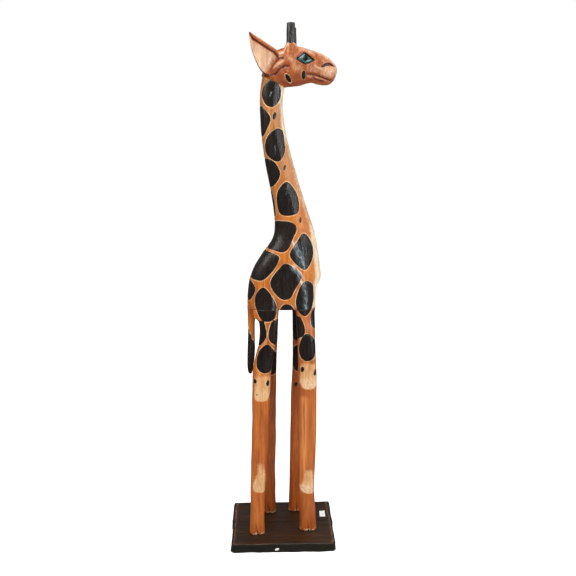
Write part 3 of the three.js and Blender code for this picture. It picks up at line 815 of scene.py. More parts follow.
def paper_finish():
    """White paper with faint fibres and one small brown dot."""
    material, tree, shader, where = new_material("label_paper", 0.75)
    fibres = noise(tree, where, 900, 4)
    paper = blend(tree, rise(tree, fibres, 0.3, 0.7), colour(246, 245, 242), colour(255, 255, 253))
    dot = rise(tree, field(tree, "dot"), 0.4, -0.3)
    tree.links.new(blend(tree, dot, paper, colour(196, 156, 120)), shader.inputs["Base Color"])
    bump(tree, shader, fibres, 0.0002)
    return material


def plain_finish(name, light, dark, **sockets):
    """Raw wood or steel for the fastenings, with streaks and a little wear."""
    material, tree, shader, where = new_material(name, **sockets)
    streaks = grain(tree, where, light, dark)
    marks = reckon(tree, "MULTIPLY", wear(tree, where, 300, 0.5), 0.4)
    tree.links.new(blend(tree, marks, streaks["Color"], dark), shader.inputs["Base Color"])
    bump(tree, shader, streaks["Height"], 0.0003)
    return material


horn_wood = horn_finish()
board_wood = board_finish()
label_paper = paper_finish()
dowel_wood = plain_finish(
    "dowel_wood", colour(222, 190, 142), colour(190, 150, 100), roughness=0.7)
screw_steel = plain_finish(
    "screw_steel", colour(190, 192, 196), colour(120, 122, 126), roughness=0.3, Metallic=1.0)

# --- Trunk


def belly_edge(x):
    """Half thickness of the trunk at its lower edge, at a given X."""
    _, back, front, half, square, ridge, bevel = TRUNK[0]
    along = np.clip(np.abs(x - (back + front) / 2) / ((front - back) / 2), 0, 1)
    past = np.clip((x - ridge) / (front - ridge), 0, 1)
    return half * (1 - along ** square) ** (1 / square) * (1 - bevel * past)


TOP_SQUARENESS = 4.2


def leg_edge(x):
    """How far out the legs' tops reach from the middle plane at a given X, and how surely."""
    reach, sure = np.zeros_like(x), np.zeros_like(x)
    for name in ("fore_right", "hind_right"):
        leg = LEGS[name]
        (cx, cy), (_, a, b, _, _) = leg["belly"], leg["rows"][-1]
        along = np.clip(np.abs(x - cx) / a, 0, 1)
        edge = -cy + b * (1 - along ** TOP_SQUARENESS) ** (1 / TOP_SQUARENESS)
        reach = np.where(along < 1, edge, reach)
        sure = np.maximum(sure, smooth(along, 1, 0.82))
    return reach, sure


def trunk_piece():
    """Superellipse sections carried up the rows, with a cut round each rounded patch."""
    levels, rounds = 400, 184
    share = np.linspace(0, 1, levels)[:, None]
    back, front, half, square, ridge, bevel = [through(TRUNK, c)(share) for c in range(1, 7)]
    angle = turns(rounds)
    x, y = oval(angle, (front - back) / 2, half, square)
    x = x + (front + back) / 2
    y = y * (1 - bevel * np.maximum(0, (x - ridge) / (front - ridge)))
    above = share * (HEAD_Z - BELLY_Z - GLUE_GAP)
    z = BELLY_Z + above + NECK_SLOPE * smooth(share, 0.8, 1) * x
    reach, sure = leg_edge(x)
    inset = np.clip(np.abs(y) - reach, 0, 6) * sure * smooth(above, 34, 0)
    soft_edge = 1.4 * (1 - sure) * np.clip(1 - above / 3, 0, 1) ** 2
    y = y - np.sign(y) * np.minimum(inset + soft_edge, np.abs(y))
    grid = np.stack([x, y, z], -1)
    right, unroll = chart(grid, -1)
    left, _ = chart(grid, 1)

    # The left side has the same patches, bent a little so that the sides differ.
    left_share = smooth(np.abs(y) / half, 0.25, 0.85) * (y > 0)
    above_belly = smooth(z, BELLY_Z + 20, BELLY_Z + 80)
    along = np.where(y < 0, right, left) + 5 * np.sin(z / 31) * left_share
    height = z + 7 * np.sin(z / 43 + along / 21 + 1) * left_share * above_belly
    patch = painted(along, height, unroll, TRUNK_PATCHES, TRUNK_DOTS)
    normal = normals_of(grid)
    uneven = 0.45 * ripple(grid, 70, 3) + 0.16 * ripple(grid * (1, 1, 0.35), 15, 4)
    grid = grid + normal * (groove(patch) + uneven)[..., None]
    fields = blank(grid)
    fields["patch"] = patch

    # The front edge is pale: rubbed bare wood with a painted highlight from the light on the right
    # over it, most of all on the chest and high on the neck.
    from_front = np.where(y < 0, right, left) - front
    pale = np.where(z > 720, smooth(z, 780, 830), smooth(z, 650, 610))
    fields["bare"] = smooth(from_front, -11 + 2 * ripple(grid, 40, 6), 4) * (0.45 + 0.5 * pale)
    # Painted highlights along the listed streaks.
    fields["painted_sheen"] = 0 * x
    for points, width, strength in PAINTED_SHEEN_LINES:
        streak = near(unroll(points), width, along, height)
        fields["painted_sheen"] = np.maximum(fields["painted_sheen"], strength * streak)
    fields["red"] = 0.35 * smooth(above, 40, 0) * (np.abs(y) < half * 0.98)
    grid[..., 1] += MIDDLE_Y
    grid, fields = cap(grid, fields)
    return skin("torso_and_neck_carving", grid, fields, body_wood, "torso_and_neck")


# --- Legs and tail


def leg_middle(leg, height):
    """X and Y of a leg's middle line at a height above the floor."""
    share = np.clip((height - BOARD_TOP) / LEG_HEIGHT, 0, 1)
    bow = leg["bowed"] * through(leg["rows"], 4)(share)
    x = leg["foot"][0] + (leg["belly"][0] - leg["foot"][0]) * share + bow
    y = leg["foot"][1] + (leg["belly"][1] - leg["foot"][1]) * share
    return x, y


def moved(marks, leg, model):
    """Points or dots drawn on one leg, moved to another leg's middle line."""
    return [(x + leg_middle(leg, z)[0] - leg_middle(model, z)[0], z, *size)
            for x, z, *size in marks]


HOOF_HEIGHT = 23

# The cleft of a hoof: how far behind the leg's middle it starts, and how far forwards it runs.
CLEFTS = {"fore": (1, 1.5), "hind": (2.5, 4)}

# The rubbed places of a leg: how bare they get, and how strong a painted highlight they get.
BARE_AND_SHEEN = {"fore": (1, 0.6), "hind": (0.86, 0.25)}


def leg_piece(name, seed):
    """Superellipse sections between foot and belly, with scooped knees and a cloven hoof."""
    leg = LEGS[name]
    kind = name.split("_")[0]
    model = LEGS[f"{kind}_right"]
    outlines, dots, hidden, hidden_dots, bared, painted_light_lines = LEG_PAINT[kind]
    bareness, sheen_strength = BARE_AND_SHEEN[kind]
    behind, forwards = CLEFTS[kind]
    side = leg["side"]
    levels, rounds = 330, 88
    share = np.linspace(0, 1, levels)[:, None]
    a, b, square = [through(leg["rows"], c)(share) for c in (1, 2, 3)]
    square = square + (TOP_SQUARENESS - square) * smooth(share, 0.84, 0.98)
    above = share * (LEG_HEIGHT - 0.05)
    z = BOARD_TOP + above
    cx, cy = leg_middle(leg, z)
    flare = 1 + 0.045 * bell(above, 9) - 0.09 * np.clip(1 - above / 3.5, 0, 1) ** 2
    angle = turns(rounds)
    dx, dy = oval(angle, a * flare, b * flare, square)
    down = LEG_HEIGHT - above
    fillet = 1.8 * np.exp(-down / 3.5)
    if name == "hind_right":  # this thigh arches back to the tail
        arch = 8.5 * smooth(down, 25, 14) + 1.2 * smooth(down, 32, 18)
        fillet = np.where(dx < 0, arch, fillet)
    x, y = cx + dx + np.sign(dx) * fillet * smooth(np.abs(dx) / a, 0.5, 1), cy + dy
    over = np.maximum(np.abs(y) - belly_edge(x), 0) * (y * side > 0)
    y = y - np.sign(y) * over * smooth(share, 0.86, 0.995)
    grid = np.stack([x, y, np.broadcast_to(z, x.shape)], -1)
    outer, unroll_outer = chart(grid, side)
    inner, unroll_inner = chart(grid, -side)
    z = grid[..., 2]
    outlines, hidden, bared = [
        [moved(outline, leg, model) for outline in drawn] for drawn in (outlines, hidden, bared)]
    dots, hidden_dots = [moved(drawn, leg, model) for drawn in (dots, hidden_dots)]
    patch = np.minimum(
        painted(outer, z, unroll_outer, outlines, dots),
        painted(inner, z, unroll_inner, hidden, hidden_dots),
    )
    fields = blank(grid)
    fields["patch"] = patch
    fields["painted_sheen"] = 0 * z
    carved = groove(patch)

    # A rubbed place is scooped, bare with a sharp lower edge, and fades upwards; a painted
    # highlight lies a little above that edge.
    for outline in bared:
        heights = [point[1] for point in outline]
        low, high = min(heights), max(heights)
        upper = np.clip((z - low) / (high - low), 0, 1)
        soft = 1.5 + 9 * upper
        edge = to_outline(closed_curve(unroll_outer(outline)), outer, z)
        share_bare = smooth(edge, soft * 0.4, -soft) * (bareness - 0.3 * upper)
        fields["bare"] = np.maximum(fields["bare"], share_bare)
        rubbed = sheen_strength * share_bare * bell(z - low - 11, 12)
        fields["painted_sheen"] = np.maximum(fields["painted_sheen"], rubbed)
        carved = carved - 0.9 * share_bare * np.exp(-np.clip(z - low, 0, None) / 14)

    hoof = np.clip(1 - (z - BOARD_TOP) / HOOF_HEIGHT, 0, 1)
    from_cleft = (x - cx) + (behind - forwards * hoof)
    cut = 2.4 * bell(from_cleft, 1.2) + bell(from_cleft, 4.5)
    carved = carved - hoof ** 0.7 * cut * smooth(np.abs(y - cy), 5, 9)
    on_hoof = (hoof > 0.04) & (np.abs(y - cy) > 7)
    fields["line"] = np.minimum(np.where(on_hoof, np.abs(from_cleft) - 0.9 * hoof, FAR), FAR)
    # Chips round the foot are bare wood and get a painted highlight.
    worn = ripple(grid, 9, seed + 5) + 0.6 * smooth(np.abs(from_cleft), 8, 2)
    chips = smooth(z - BOARD_TOP, 7, 2.5) * smooth(worn, 0, 0.4)
    fields["bare"] = np.maximum(fields["bare"], chips)
    fields["painted_sheen"] = np.maximum(fields["painted_sheen"], 0.8 * smooth(chips, 0.4, 0.9))
    fields["painted_light"] = near(painted_light_lines, 8, outer - cx, z)
    # The inner faces, which face each other, get a darker red as painted shade; the hoof gets
    # redder.
    inside = smooth(-(y - cy) * side / b, -0.2, 0.7)
    fields["red"] = np.clip(0.16 * inside + 0.2 * hoof, 0, 0.8)
    uneven = 0.4 * ripple(grid, 60, seed) + 0.22 * ripple(grid * (1, 1, 0.12), 13, seed + 1)
    normal = normals_of(grid)
    grid = grid + normal * (carved + uneven * smooth(share, 1, 0.93))[..., None]
    grid[..., 2] = np.maximum(grid[..., 2], BOARD_TOP)
    grid[..., 1] += MIDDLE_Y
    grid, fields = cap(grid, fields)
    return skin(f"leg_{name}_carving", grid, fields, leg_wood, f"leg_{name}")


def tail_piece():
    """Sections carried down the thigh, cut back where they lie on it, with strands in the tuft."""
    levels, rounds = 170, 72
    share = np.linspace(TAIL[0][0], 1, levels)[:, None]
    cx, cy, a, b, square = [through(TAIL, c)(share) for c in range(1, 6)]
    angle = turns(rounds)
    dx, dy = oval(angle, a, b, square)
    a = a * (1 + 0.1 * smooth(share, 0.86, 0.8))
    down = (1 - share) * LEG_HEIGHT
    fillet = (4.5 * smooth(down, 25, 14) + 0.8 * smooth(down, 32, 18)) * smooth(dx / a, 0.3, 1)
    x, y = cx + dx + fillet, cy + dy
    z = np.broadcast_to(BOARD_TOP + share * LEG_HEIGHT - 0.1, x.shape)
    patch = (z - 436 + 2.2 * (x + 67)) / 2.4 + 1.2 * np.sin(angle * 8)
    tuft = smooth(patch, 1, -1)
    strands = 0.45 * np.sin(angle * 11 + z / 26) * tuft
    strands = strands + 0.2 * np.sin(angle * 5 + z / 40) * (1 - tuft)
    grid = np.stack([x, y, z], -1)
    grid = grid + normals_of(grid) * (strands + groove(patch) * 0.5)[..., None]
    thigh = LEGS["hind_right"]
    leg_x, leg_y = leg_middle(thigh, z)
    leg_a, leg_b, leg_n = [through(thigh["rows"], c)(share) for c in (1, 2, 3)]
    across = np.clip(np.abs(grid[..., 1] - leg_y) / leg_b, 0, 1)
    leg_back = leg_x - leg_a * (1 - across ** leg_n) ** (1 / leg_n) - GLUE_GAP
    grid[..., 0] = np.where(across < 1, np.minimum(grid[..., 0], leg_back), grid[..., 0])
    fields = blank(grid)
    fields["patch"] = np.clip(patch, -FAR, FAR)
    fields["red"] = 0.04 + 0.12 * np.sin(angle * 5 + 1) ** 2 + 0 * z
    grid[..., 1] += MIDDLE_Y
    grid, fields = cap(grid, fields, 6)
    return skin("tail_carving", grid, fields, body_wood, "tail")


# --- Head, ears and horns

# Drawn on the right side of the head, as X and Z from the middle of its neck joint.
EYE = [(23, 45), (31, 51.8), (39.5, 58), (49.5, 51.4), (59, 43.5), (50.5, 38.6), (41.5, 35),
       (32, 39.4)]
NOSTRIL = [(70.5, 33.3), (76, 37.4), (82, 40.2), (89, 38.8), (93.3, 33.8), (88.5, 35.4), (82, 35.8),
           (76, 33.6), (72, 32.4)]
LIPS = [(45.5, 19), (56.5, 19.5), (66.5, 16.5), (76.5, 13), (86.5, 9)]
LOWER_LIP = [(55, 15.5), (59.5, 12), (67, 9.8), (74, 8.2)]
CHEEK_FOLD = [(10, 32.6), (4, 33), (-3, 29.5), (-9, 23.5), (-13.5, 18.5)]
NAPE_LINE = [(-36, 18.5), (-28, 16), (-20, 17.5), (-14.5, 20)]
EAR_ROOT = [(1, 47), (-4, 47.5), (-11, 44), (-17, 37), (-19.5, 30), (-23, 23), (-28.5, 19.5)]
CHEEK_RIDGE = [(-17, 30), (-8.5, 35.5), (1, 41)]
BROW = [(-6, 56), (8, 57), (24, 60)]
BROW_TOP = [(60, 60), (80, 52), (92, 44)]
TEMPLE = [(-4, 50), (8, 47), (20, 42)]
SNOUT_LINE = [(58, 35), (65, 31.5), (72, 29)]
LIP_EDGE = [(46, 15.5), (58, 15.5), (68, 12.8), (78, 9.5)]
JAW = [(-2, 8), (5, 4), (13, 2.5), (26, 4), (38, 6.5), (50, 10)]

# Glints in the eye with their half widths, and painted spots as middle, half sizes and lean.
GLINTS = [([(35, 49.5), (39, 52)], 0.7), ([(46, 41.5), (50, 43.5)], 1),
          ([(43.5, 45), (45, 48.5)], 0.3)]
SPOTS = [((10.5, 12.3), (3.8, 8.4), 0.6), ((38.4, 18), (3.8, 7.2), 0)]

# Soft lines with their width and strength: painted highlights along ridges and edges, red stain
# along the jaw and lower lip with painted shade in the ear root and cheek fold, and raised.
HIGHLIGHT_LINES = [(BROW, 1.8, 0.75), (SNOUT_LINE, 1.6, 0.5), (TEMPLE, 4, 0.25), (CHEEK_RIDGE, 3, 0.6),
              (LIP_EDGE, 1.6, 0.4), (BROW_TOP, 3.2, 0.3)]
RED_AND_SHADE_LINES = [(JAW, 3.4, 0.9), (EAR_ROOT, 5, 0.5), (CHEEK_FOLD, 4.5, 0.7), (LOWER_LIP, 3, 0.7)]
RIDGES = [(CHEEK_RIDGE, 3, 1.3), (BROW, 2.2, 1.0)]

# Carved lines with their half width and depth.
CARVED_LINES = [(LIPS, 1.0, 2.4), (LOWER_LIP, 0.5, 1.2), (CHEEK_FOLD, 0.9, 2.8),
                (EAR_ROOT, 1.2, 1.8), (NAPE_LINE, 0.9, 1.2)]


def soft_lines(lines, x, z):
    """The sum of soft lines, each with its own width and strength."""
    return sum(strength * near(points, width, x, z) for points, width, strength in lines)


def head_piece():
    """Upright sections carried from nape to nose and cut off at the neck joint, then carved."""
    levels, rounds = 230, 208
    share = np.linspace(0, 1, levels)[:, None]
    x = HEAD[0][0] + (HEAD[-1][0] - HEAD[0][0]) * (1 - (1 - share) ** 1.4)
    low, top, half, square = [through(HEAD, c)(x) for c in range(1, 5)]
    angle = turns(rounds)
    a, middle = (top - low) / 2, (top + low) / 2
    up, y = oval(angle, a, half, square)
    z = middle + up
    joint = NECK_SLOPE * x + 0 * z
    depth = np.clip(np.abs(joint - middle) / a, 0, 1)
    widest = half * (1 - depth ** square) ** (1 / square)
    below = z < joint
    y = np.where(below, np.sign(y) * np.minimum(np.abs(y), widest), y)
    z = np.where(below, joint, z)
    x = x + 0 * z
    grid = np.stack([x, y, z], -1)
    normal = normals_of(grid)
    flank = smooth(np.abs(normal[..., 1]), 0.25, 0.6)
    upward = smooth(normal[..., 2], 0.15, 0.5)

    def beside(distance):
        return np.where(flank > 0.02, distance, FAR)

    fields = blank(grid)
    eye = beside(to_outline(np.array(EYE), x, z))
    fields["eye"] = eye
    fields["pupil"] = beside(to_dot(x, z, (41.5, 47), (4.4, 5), 0.3))
    glints = [to_line(points, x, z) - wide for points, wide in GLINTS]
    fields["glint"] = beside(np.min(glints, axis=0))

    carved = 0 * z
    line = np.full(z.shape, FAR)
    for points, wide, deep in CARVED_LINES:
        distance = to_line(points, x, z)
        line = np.minimum(line, distance - wide)
        carved = carved - deep * bell(distance, 0.7 * wide + 1.4)
    nostril = to_outline(np.array(NOSTRIL), x, z)
    line = np.minimum(line, nostril - 0.7)
    carved = carved - 2.4 * smooth(nostril, 1.4, -1.2)
    fields["line"] = beside(line)
    spots = np.min([to_dot(x, z, *spot) for spot in SPOTS], axis=0)
    fields["patch"] = beside(np.where(spots > 0, spots * 2.2, spots))
    carved = carved + groove(spots) * 0.6 + soft_lines(RIDGES, x, z)
    carved = carved + 1.2 * bell(eye - 2.2, 1.6) - 1.6 * smooth(eye, 0.6, -1.4)
    carved = carved + 1.1 * smooth(eye, -3.2, -7)
    carved = carved * flank
    cloudy = 0.5 + 0.5 * ripple(grid, 17, 12)
    muzzle = smooth(x, 60, 80) * smooth(z, 8, 20) * (1 - 0.5 * near(BROW_TOP, 7, x, z))
    # Painted highlights along ridges and edges, a paler muzzle and paler clouds low on the head.
    bare = soft_lines(HIGHLIGHT_LINES, x, z) + 0.42 * muzzle + 0.34 * cloudy * smooth(z, 10, 30)
    # Paler along the jaw's lower edge, and a painted highlight on top of the snout.
    bare = bare + 0.2 * smooth(z, 12, 2) * smooth(x, 8, 24) + 0.15 * smooth(z, 50, 66) * (x > 26)
    fields["bare"] = np.clip(bare, 0, 1)
    lip = smooth(z, 20, 6) * smooth(x, 40, 60)
    # Red stain along the jaw and lower lip, and painted shade in the ear root and cheek fold.
    red = soft_lines(RED_AND_SHADE_LINES, x, z) + 0.1 * lip + 0.3 * (1 - cloudy) * smooth(z, 45, 25)
    fields["red"] = np.clip(red, 0, 0.95)
    uneven = 0.35 * ripple(grid, 34, 8) + 0.12 * ripple(grid, 9, 9)
    grid = grid + normal * ((carved + uneven) * smooth(z - joint, 0, 4))[..., None]

    # A collar swells up to each horn.
    for horn in HORNS.values():
        spread = np.hypot(grid[..., 0] - horn["x"], grid[..., 1] - horn["side"] * HORN_SPREAD)
        fall = np.maximum(spread - 8, 0)
        target = COLLAR_TOP - 0.6 - 1.15 * fall - 0.3 * fall ** 2
        grid[..., 2] += 2.2 * np.logaddexp(0, (target - grid[..., 2]) / 2.2) * upward
    grid = grid + (0, MIDDLE_Y, HEAD_Z)
    grid, fields = cap(grid, fields)
    return skin("head_carving", grid, fields, head_wood, "head")


# The ear's upper and lower edges: share of its length, X, Z.
EAR_TOP = [[0, 0, 47], [0.12, -8, 58.5], [0.3, -19, 65], [0.55, -34, 73.5], [0.8, -48, 81.5],
           [1, -57.2, 87]]
EAR_UNDER = [[0, -24, 15], [0.15, -33, 17.5], [0.35, -41, 27], [0.6, -49.5, 44], [0.82, -56, 65],
             [1, -58.6, 84.5]]
EAR_SPREAD = math.radians(17)


def ear_piece(name):
    """A leaf with a round back; its outer face has a rolled upper rim, a cut and a hollow."""
    forward, lift, side = EAR_SHIFTS[name]
    levels, rounds = 120, 144
    share = np.linspace(0, 1, levels)[:, None]
    top = [through(EAR_TOP, c)(share) for c in (1, 2)]
    under = [through(EAR_UNDER, c)(share) for c in (1, 2)]
    angle = turns(rounds)
    across = 0.5 - 0.5 * np.cos(angle)
    outer = angle < np.pi
    x = under[0] + (top[0] - under[0]) * across
    z = under[1] + (top[1] - under[1]) * across
    width = np.hypot(top[0] - under[0], top[1] - under[1])
    from_top = (1 - across) * width
    cut = np.minimum(7.4, 0.42 * width)
    beyond = np.clip((from_top - cut) / np.maximum(width - cut, 1), 0, 1)
    edge = np.abs(np.sin(angle)) ** 0.55
    thick = 9.5 * (1 - 0.6 * share)
    hollow = 4.2 * np.sin(np.pi * beyond ** 0.75) ** 0.8 * (1 - 0.5 * share)
    hollow = hollow + 0.5 * (from_top > cut)
    slit = 2.6 * bell(from_top - cut + 0.4, 1.3)
    front = thick / 2 - np.minimum(hollow + slit, thick * 0.72)
    depth = np.where(outer, front, -thick / 2 - 1.5 * across)
    face = 29 + np.maximum(-4 - x, 0) * math.tan(EAR_SPREAD) - 10 * smooth(share, 0.2, 0)
    y = side * (face - thick / 2 + depth * edge)
    grid = np.stack([x, y, z], -1)
    grid = grid + normals_of(grid) * (0.25 * ripple(grid, 22, 21))[..., None]
    fields = blank(grid)
    # Painted shade: a dark line along the lower edge, widest near the root.
    shaded_under_edge = across * width - 1.3 * smooth(share, 0.95, 0.6) - 1.7 * smooth(share, 0.45, 0.1)
    line = np.minimum(np.abs(from_top - cut + 0.4) - 1.25 * smooth(share, 1.02, 0.85), shaded_under_edge)
    fields["line"] = np.where(outer, line, FAR)
    hollow_face = smooth(from_top - cut, 1, 4) * smooth(share, 0.02, 0.2)
    # The hollow face is pale wood, and a painted highlight runs along the top of the rim.
    fields["bare"] = np.where(outer, 0.9 * hollow_face + 0.4 * smooth(from_top, 3.5, 1), 0)
    # Salmon red on the upper rim; darker red painted shade along the lower edge and at the root.
    rim = 0.45 * smooth(from_top, 2.5, 6.5) * (from_top < cut) + smooth(across, 0.1, 0.03) * 0.9
    root = smooth(share, 0.16, 0.0)
    fields["red"] = np.clip(np.where(outer, rim, 0.3) + root * 0.7, 0, 0.9)
    grid = grid + (forward, MIDDLE_Y, HEAD_Z + lift)
    grid, fields = cap(grid, fields, 6)
    for extra in ("eye", "pupil", "glint"):
        fields[extra] = np.full(grid.shape[:2], FAR)
    return skin(f"ear_{name}_carving", grid, fields, head_wood, f"ear_{name}")


def horn_piece(name):
    """A whittled peg: a slowly narrowing round with eight soft flats and a rounded top."""
    horn = HORNS[name]
    levels, rounds = 90, 96
    share = np.linspace(0, 1, levels)[:, None]
    z = -1.5 + share * (horn["length"] + 1.5)
    near_top = ((z - horn["length"] + 1.6) / 1.6).clip(0)
    radius = 8 - 0.7 * share - 1.5 * (1 - np.sqrt(np.clip(1 - near_top ** 2, 0, 1)))
    angle = turns(rounds)
    flats = 0.16 * np.cos(8 * angle + 1.2 * horn["side"]) + 0.1 * np.cos(5 * angle + 2)
    x = horn["x"] + (radius + flats) * np.cos(angle)
    y = horn["side"] * HORN_SPREAD + (radius + flats) * np.sin(angle)
    grid = np.stack([x, y, z + 0 * x], -1)
    uneven = 0.18 * ripple(grid * (1, 1, 0.5), 14, 31 + horn["side"])
    grid = grid + normals_of(grid) * uneven[..., None]
    grid[..., 2] = np.minimum(grid[..., 2], horn["length"])
    grid = grid + (0, MIDDLE_Y, HEAD_Z + COLLAR_TOP)
    grid, fields = cap(grid, {}, 6)
    return skin(f"horn_{name}_peg", grid, fields, horn_wood, f"horn_{name}")


# --- Board and label


def boxed(half, counts, radius):
    """The skin of a block with rounded edges: loops round X, carried from end to end and closed.

    Every point of a sharp block is pulled onto the rounding: its part beyond the inner block keeps
    its direction and gets the length of the radius.
    """
    nx, ny, nz = counts
    y, z = np.linspace(-1, 1, ny, endpoint=False), np.linspace(1, -1, nz, endpoint=False)
    loop_y = np.concatenate([y, np.ones(nz), -y, -np.ones(nz)]) * half[1]
    loop_z = np.concatenate([np.ones(ny), z, -np.ones(ny), -z]) * half[2]
    ends = np.linspace(0, 1, 14)
    scale = np.concatenate([ends[1:], np.ones(nx), ends[:0:-1]])[:, None]
    x = np.concatenate([np.full(13, -1), np.linspace(-1, 1, nx), np.full(13, 1)])[:, None] * half[0]
    sharp = np.stack([x + 0 * loop_y, scale * loop_y, scale * loop_z], -1)
    inner = np.array(half) - radius
    beyond = np.maximum(np.abs(sharp) - inner, 0)
    length = np.maximum(np.linalg.norm(beyond, axis=-1, keepdims=True), 1e-9)
    return np.sign(sharp) * (np.minimum(np.abs(sharp), inner) + beyond / length * radius)


# Radius of the board's corners, seen from above.
PLAN_CORNER = 7


def board_piece():
    """The board, with a hand-sawn edge, a chip, and a countersink under each foot."""
    low, high = corners("base_board")
    half = (high - low) / 2
    grid = boxed(half, (170, 128, 14), 2.6)
    x, y, z = np.moveaxis(grid, -1, 0)
    edge = np.maximum(np.abs(x) - half[0], np.abs(y) - half[1])
    on_top = z > half[2] - 0.4
    plan = grid[..., :2]
    past = np.maximum(np.abs(plan) - (half[:2] - PLAN_CORNER), 0)
    reach = np.maximum(np.linalg.norm(past, axis=-1, keepdims=True), PLAN_CORNER)
    grid[..., :2] = np.sign(plan) * (np.abs(plan) - past * (1 - PLAN_CORNER / reach))
    wobble = 0.5 * ripple(grid * (1, 1, 0.3), 45, 41) + 0.25 * ripple(grid, 11, 42)
    corner = bell(x + half[0], 14) * smooth(z, 0, -half[2])
    far_side = np.where(y > 0, 3.2, 0.9 + 0.9 * smooth(z, 4, -6) + 0.8 * corner)
    pull = (wobble - far_side) * smooth(edge, -6, -0.5)
    grid[..., 0] -= np.sign(x) * pull * (np.abs(x) > half[0] - 6)
    grid[..., 1] -= np.sign(y) * pull * (np.abs(y) > half[1] - 6)
    skew = np.where(x > 0, 2.8, 0.6) * smooth(y, -half[1], half[1])
    grid[..., 0] -= skew * smooth(np.abs(x), half[0] - 20, half[0] - 2)
    lift = np.clip(0.2 + 1.1 * ripple(grid * (1, 1, 0), 26, 43), 0, 1.4)
    lift = lift + 3 * smooth(np.abs(x), half[0] - 9, half[0] + 1) ** 2
    grid[..., 2] += lift * smooth(z, -half[2] + 3, -half[2]) * smooth(edge, -5, -0.5)
    grid[..., 2] -= 0.35 * np.clip(ripple(grid * (0.25, 1, 0), 12, 44), 0, 1) * on_top
    chip = to_dot(x, z, (-13, -1.8), (4.2, 2.1), 0.3)
    chip = np.where(y < -half[1] + 3, chip, FAR)
    grid[..., 1] += 0.7 * smooth(chip, 0.4, -1)
    grid = grid + (low + high) / 2
    for leg in LEGS.values():
        spread = np.hypot(grid[..., 0] - leg["foot"][0], grid[..., 1] - leg["foot"][1] - MIDDLE_Y)
        countersink = 1.3 * smooth(spread, 5.2, 4.6) + 1.8 * smooth(spread, 4, 2.6)
        grid[..., 2] += countersink * (grid[..., 2] < 2.5)
    fields = {
        "chip": chip,
        "rim": edge + 4.5 + 0.8 * ripple(grid, 30, 45),
        "side": smooth(edge, -1.6, -0.6) * (z < half[2] - 1),
    }
    fields["rim"] = np.where(on_top & (np.abs(x) > half[0] - 9), fields["rim"], FAR)
    return skin("base_board_plank", grid, fields, board_wood, "base_board")


def label_piece():
    """A thin paper sheet with one corner curling up."""
    low, high = corners("blank_label")
    half = (high - low) / 2
    grid = boxed(half, (40, 60, 2), 0.14)
    x, y = grid[..., 0], grid[..., 1]
    dot = to_dot(x, y, (0.8, -1.5), (0.8, 1.1))
    curl = np.clip((x / half[0] + y / half[1] - 1.1) / 0.9, 0, 1)
    grid[..., 2] += 1.2 * curl ** 2
    grid = grid + (low + high) / 2
    return skin("blank_label_sheet", grid, {"dot": dot}, label_paper, "blank_label")


trunk_piece()
for number, leg_name in enumerate(LEGS):
    leg_piece(leg_name, 50 + 10 * number)
tail_piece()
head_piece()
for ear_name in EAR_SHIFTS:
    ear_piece(ear_name)
for horn_name in HORNS:
    horn_piece(horn_name)
board_piece()
label_piece()

for node_name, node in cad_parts.items():
    finish = dowel_wood if node_name.startswith("dowel") else screw_steel
    if node_name.startswith(("dowel", "screw")):
        node.data.materials.clear()
        node.data.materials.append(finish)

# --- Floor and light


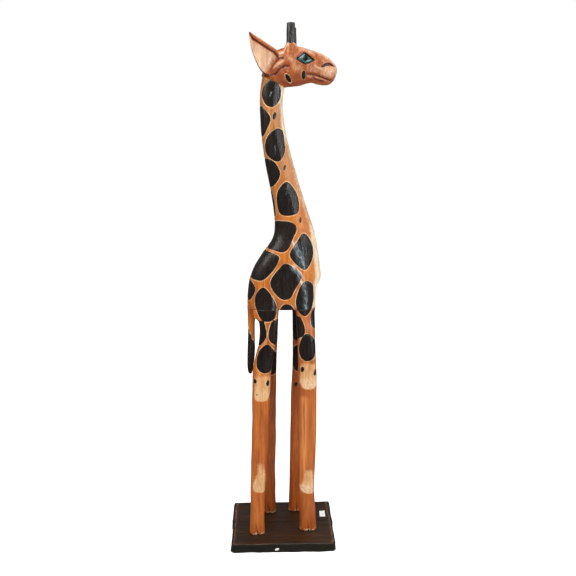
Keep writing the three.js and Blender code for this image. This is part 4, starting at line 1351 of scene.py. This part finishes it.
def floor():
    """A wide flat sheet at Z = 0, bright enough to meet the background without a line."""
    mesh = bpy.data.meshes.new("floor")
    mesh.from_pydata([(-15, -15, 0), (15, -15, 0), (15, 15, 0), (-15, 15, 0)], [], [(0, 1, 2, 3)])
    sheet = bpy.data.objects.new("floor", mesh)
    bpy.context.scene.collection.objects.link(sheet)
    material = bpy.data.materials.new("floor_white")
    material.use_nodes = True
    shader = material.node_tree.nodes["Principled BSDF"]
    shader.inputs["Roughness"].default_value = 0.9
    shader.inputs["Specular IOR Level"].default_value = 0.1
    shader.inputs["Emission Color"].default_value = (1, 1, 1, 1)
    tree = material.node_tree
    path = put(tree, "ShaderNodeLightPath").outputs
    glow = rise(tree, path["Is Camera Ray"], 0.0, 1.0, 0.03, 0.8)
    tree.links.new(glow, shader.inputs["Emission Strength"])
    tone = rise(tree, path["Is Glossy Ray"], 0.0, 1.0, 0.85, 0.12)
    tree.links.new(grey(tree, tone), shader.inputs["Base Color"])
    mesh.materials.append(material)


# The lights are aimed at this point in the middle of the figure.
AIM = np.array([0, 0, 0.5])


def soft_light(name, azimuth, elevation, distance, size, power, tint=(1, 1, 1)):
    """A soft light aimed at the figure; azimuth 0 is straight in front, positive to the right."""
    turn, tilt = math.radians(azimuth), math.radians(elevation)
    data = bpy.data.lights.new(name, "AREA")
    data.shape = "RECTANGLE"
    data.size, data.size_y = size
    data.energy = power
    data.color = tint
    lamp = bpy.data.objects.new(name, data)
    way = (math.sin(turn) * math.cos(tilt), -math.cos(turn) * math.cos(tilt), math.sin(tilt))
    lamp.location = AIM + np.array(way) * distance
    lamp.rotation_euler = (math.pi / 2 - tilt, 0, turn)
    bpy.context.scene.collection.objects.link(lamp)


def surroundings():
    """A white background for the eye, much dimmer for what it lights and what is mirrored."""
    world = bpy.data.worlds.new("surroundings")
    world.use_nodes = True
    tree = world.node_tree
    path = put(tree, "ShaderNodeLightPath").outputs
    unseen = rise(tree, path["Is Glossy Ray"], 0.0, 1.0, 0.3, 0.12)
    background = tree.nodes["Background"].inputs
    strength = between(tree, path["Is Camera Ray"], unseen, 1.0)
    tree.links.new(strength, background["Strength"])
    background["Color"].default_value = (1, 1, 1, 1)
    bpy.context.scene.world = world


floor()
surroundings()
soft_light("light_strip", 54, 4, 1.8, (0.26, 0.8), 13, (0.9, 0.96, 1))
soft_light("light_right", 72, 30, 2.1, (0.9, 0.9), 8, (0.96, 0.98, 1))
soft_light("light_overhead", -12, 62, 2.1, (1.3, 1.3), 32, (1, 0.98, 0.95))
soft_light("light_left", -66, 34, 2.2, (0.9, 0.9), 15, (1, 0.96, 0.9))
soft_light("light_behind", 160, 66, 2.4, (1.2, 1.2), 12)
bpy.context.scene.view_settings.view_transform = "Standard"
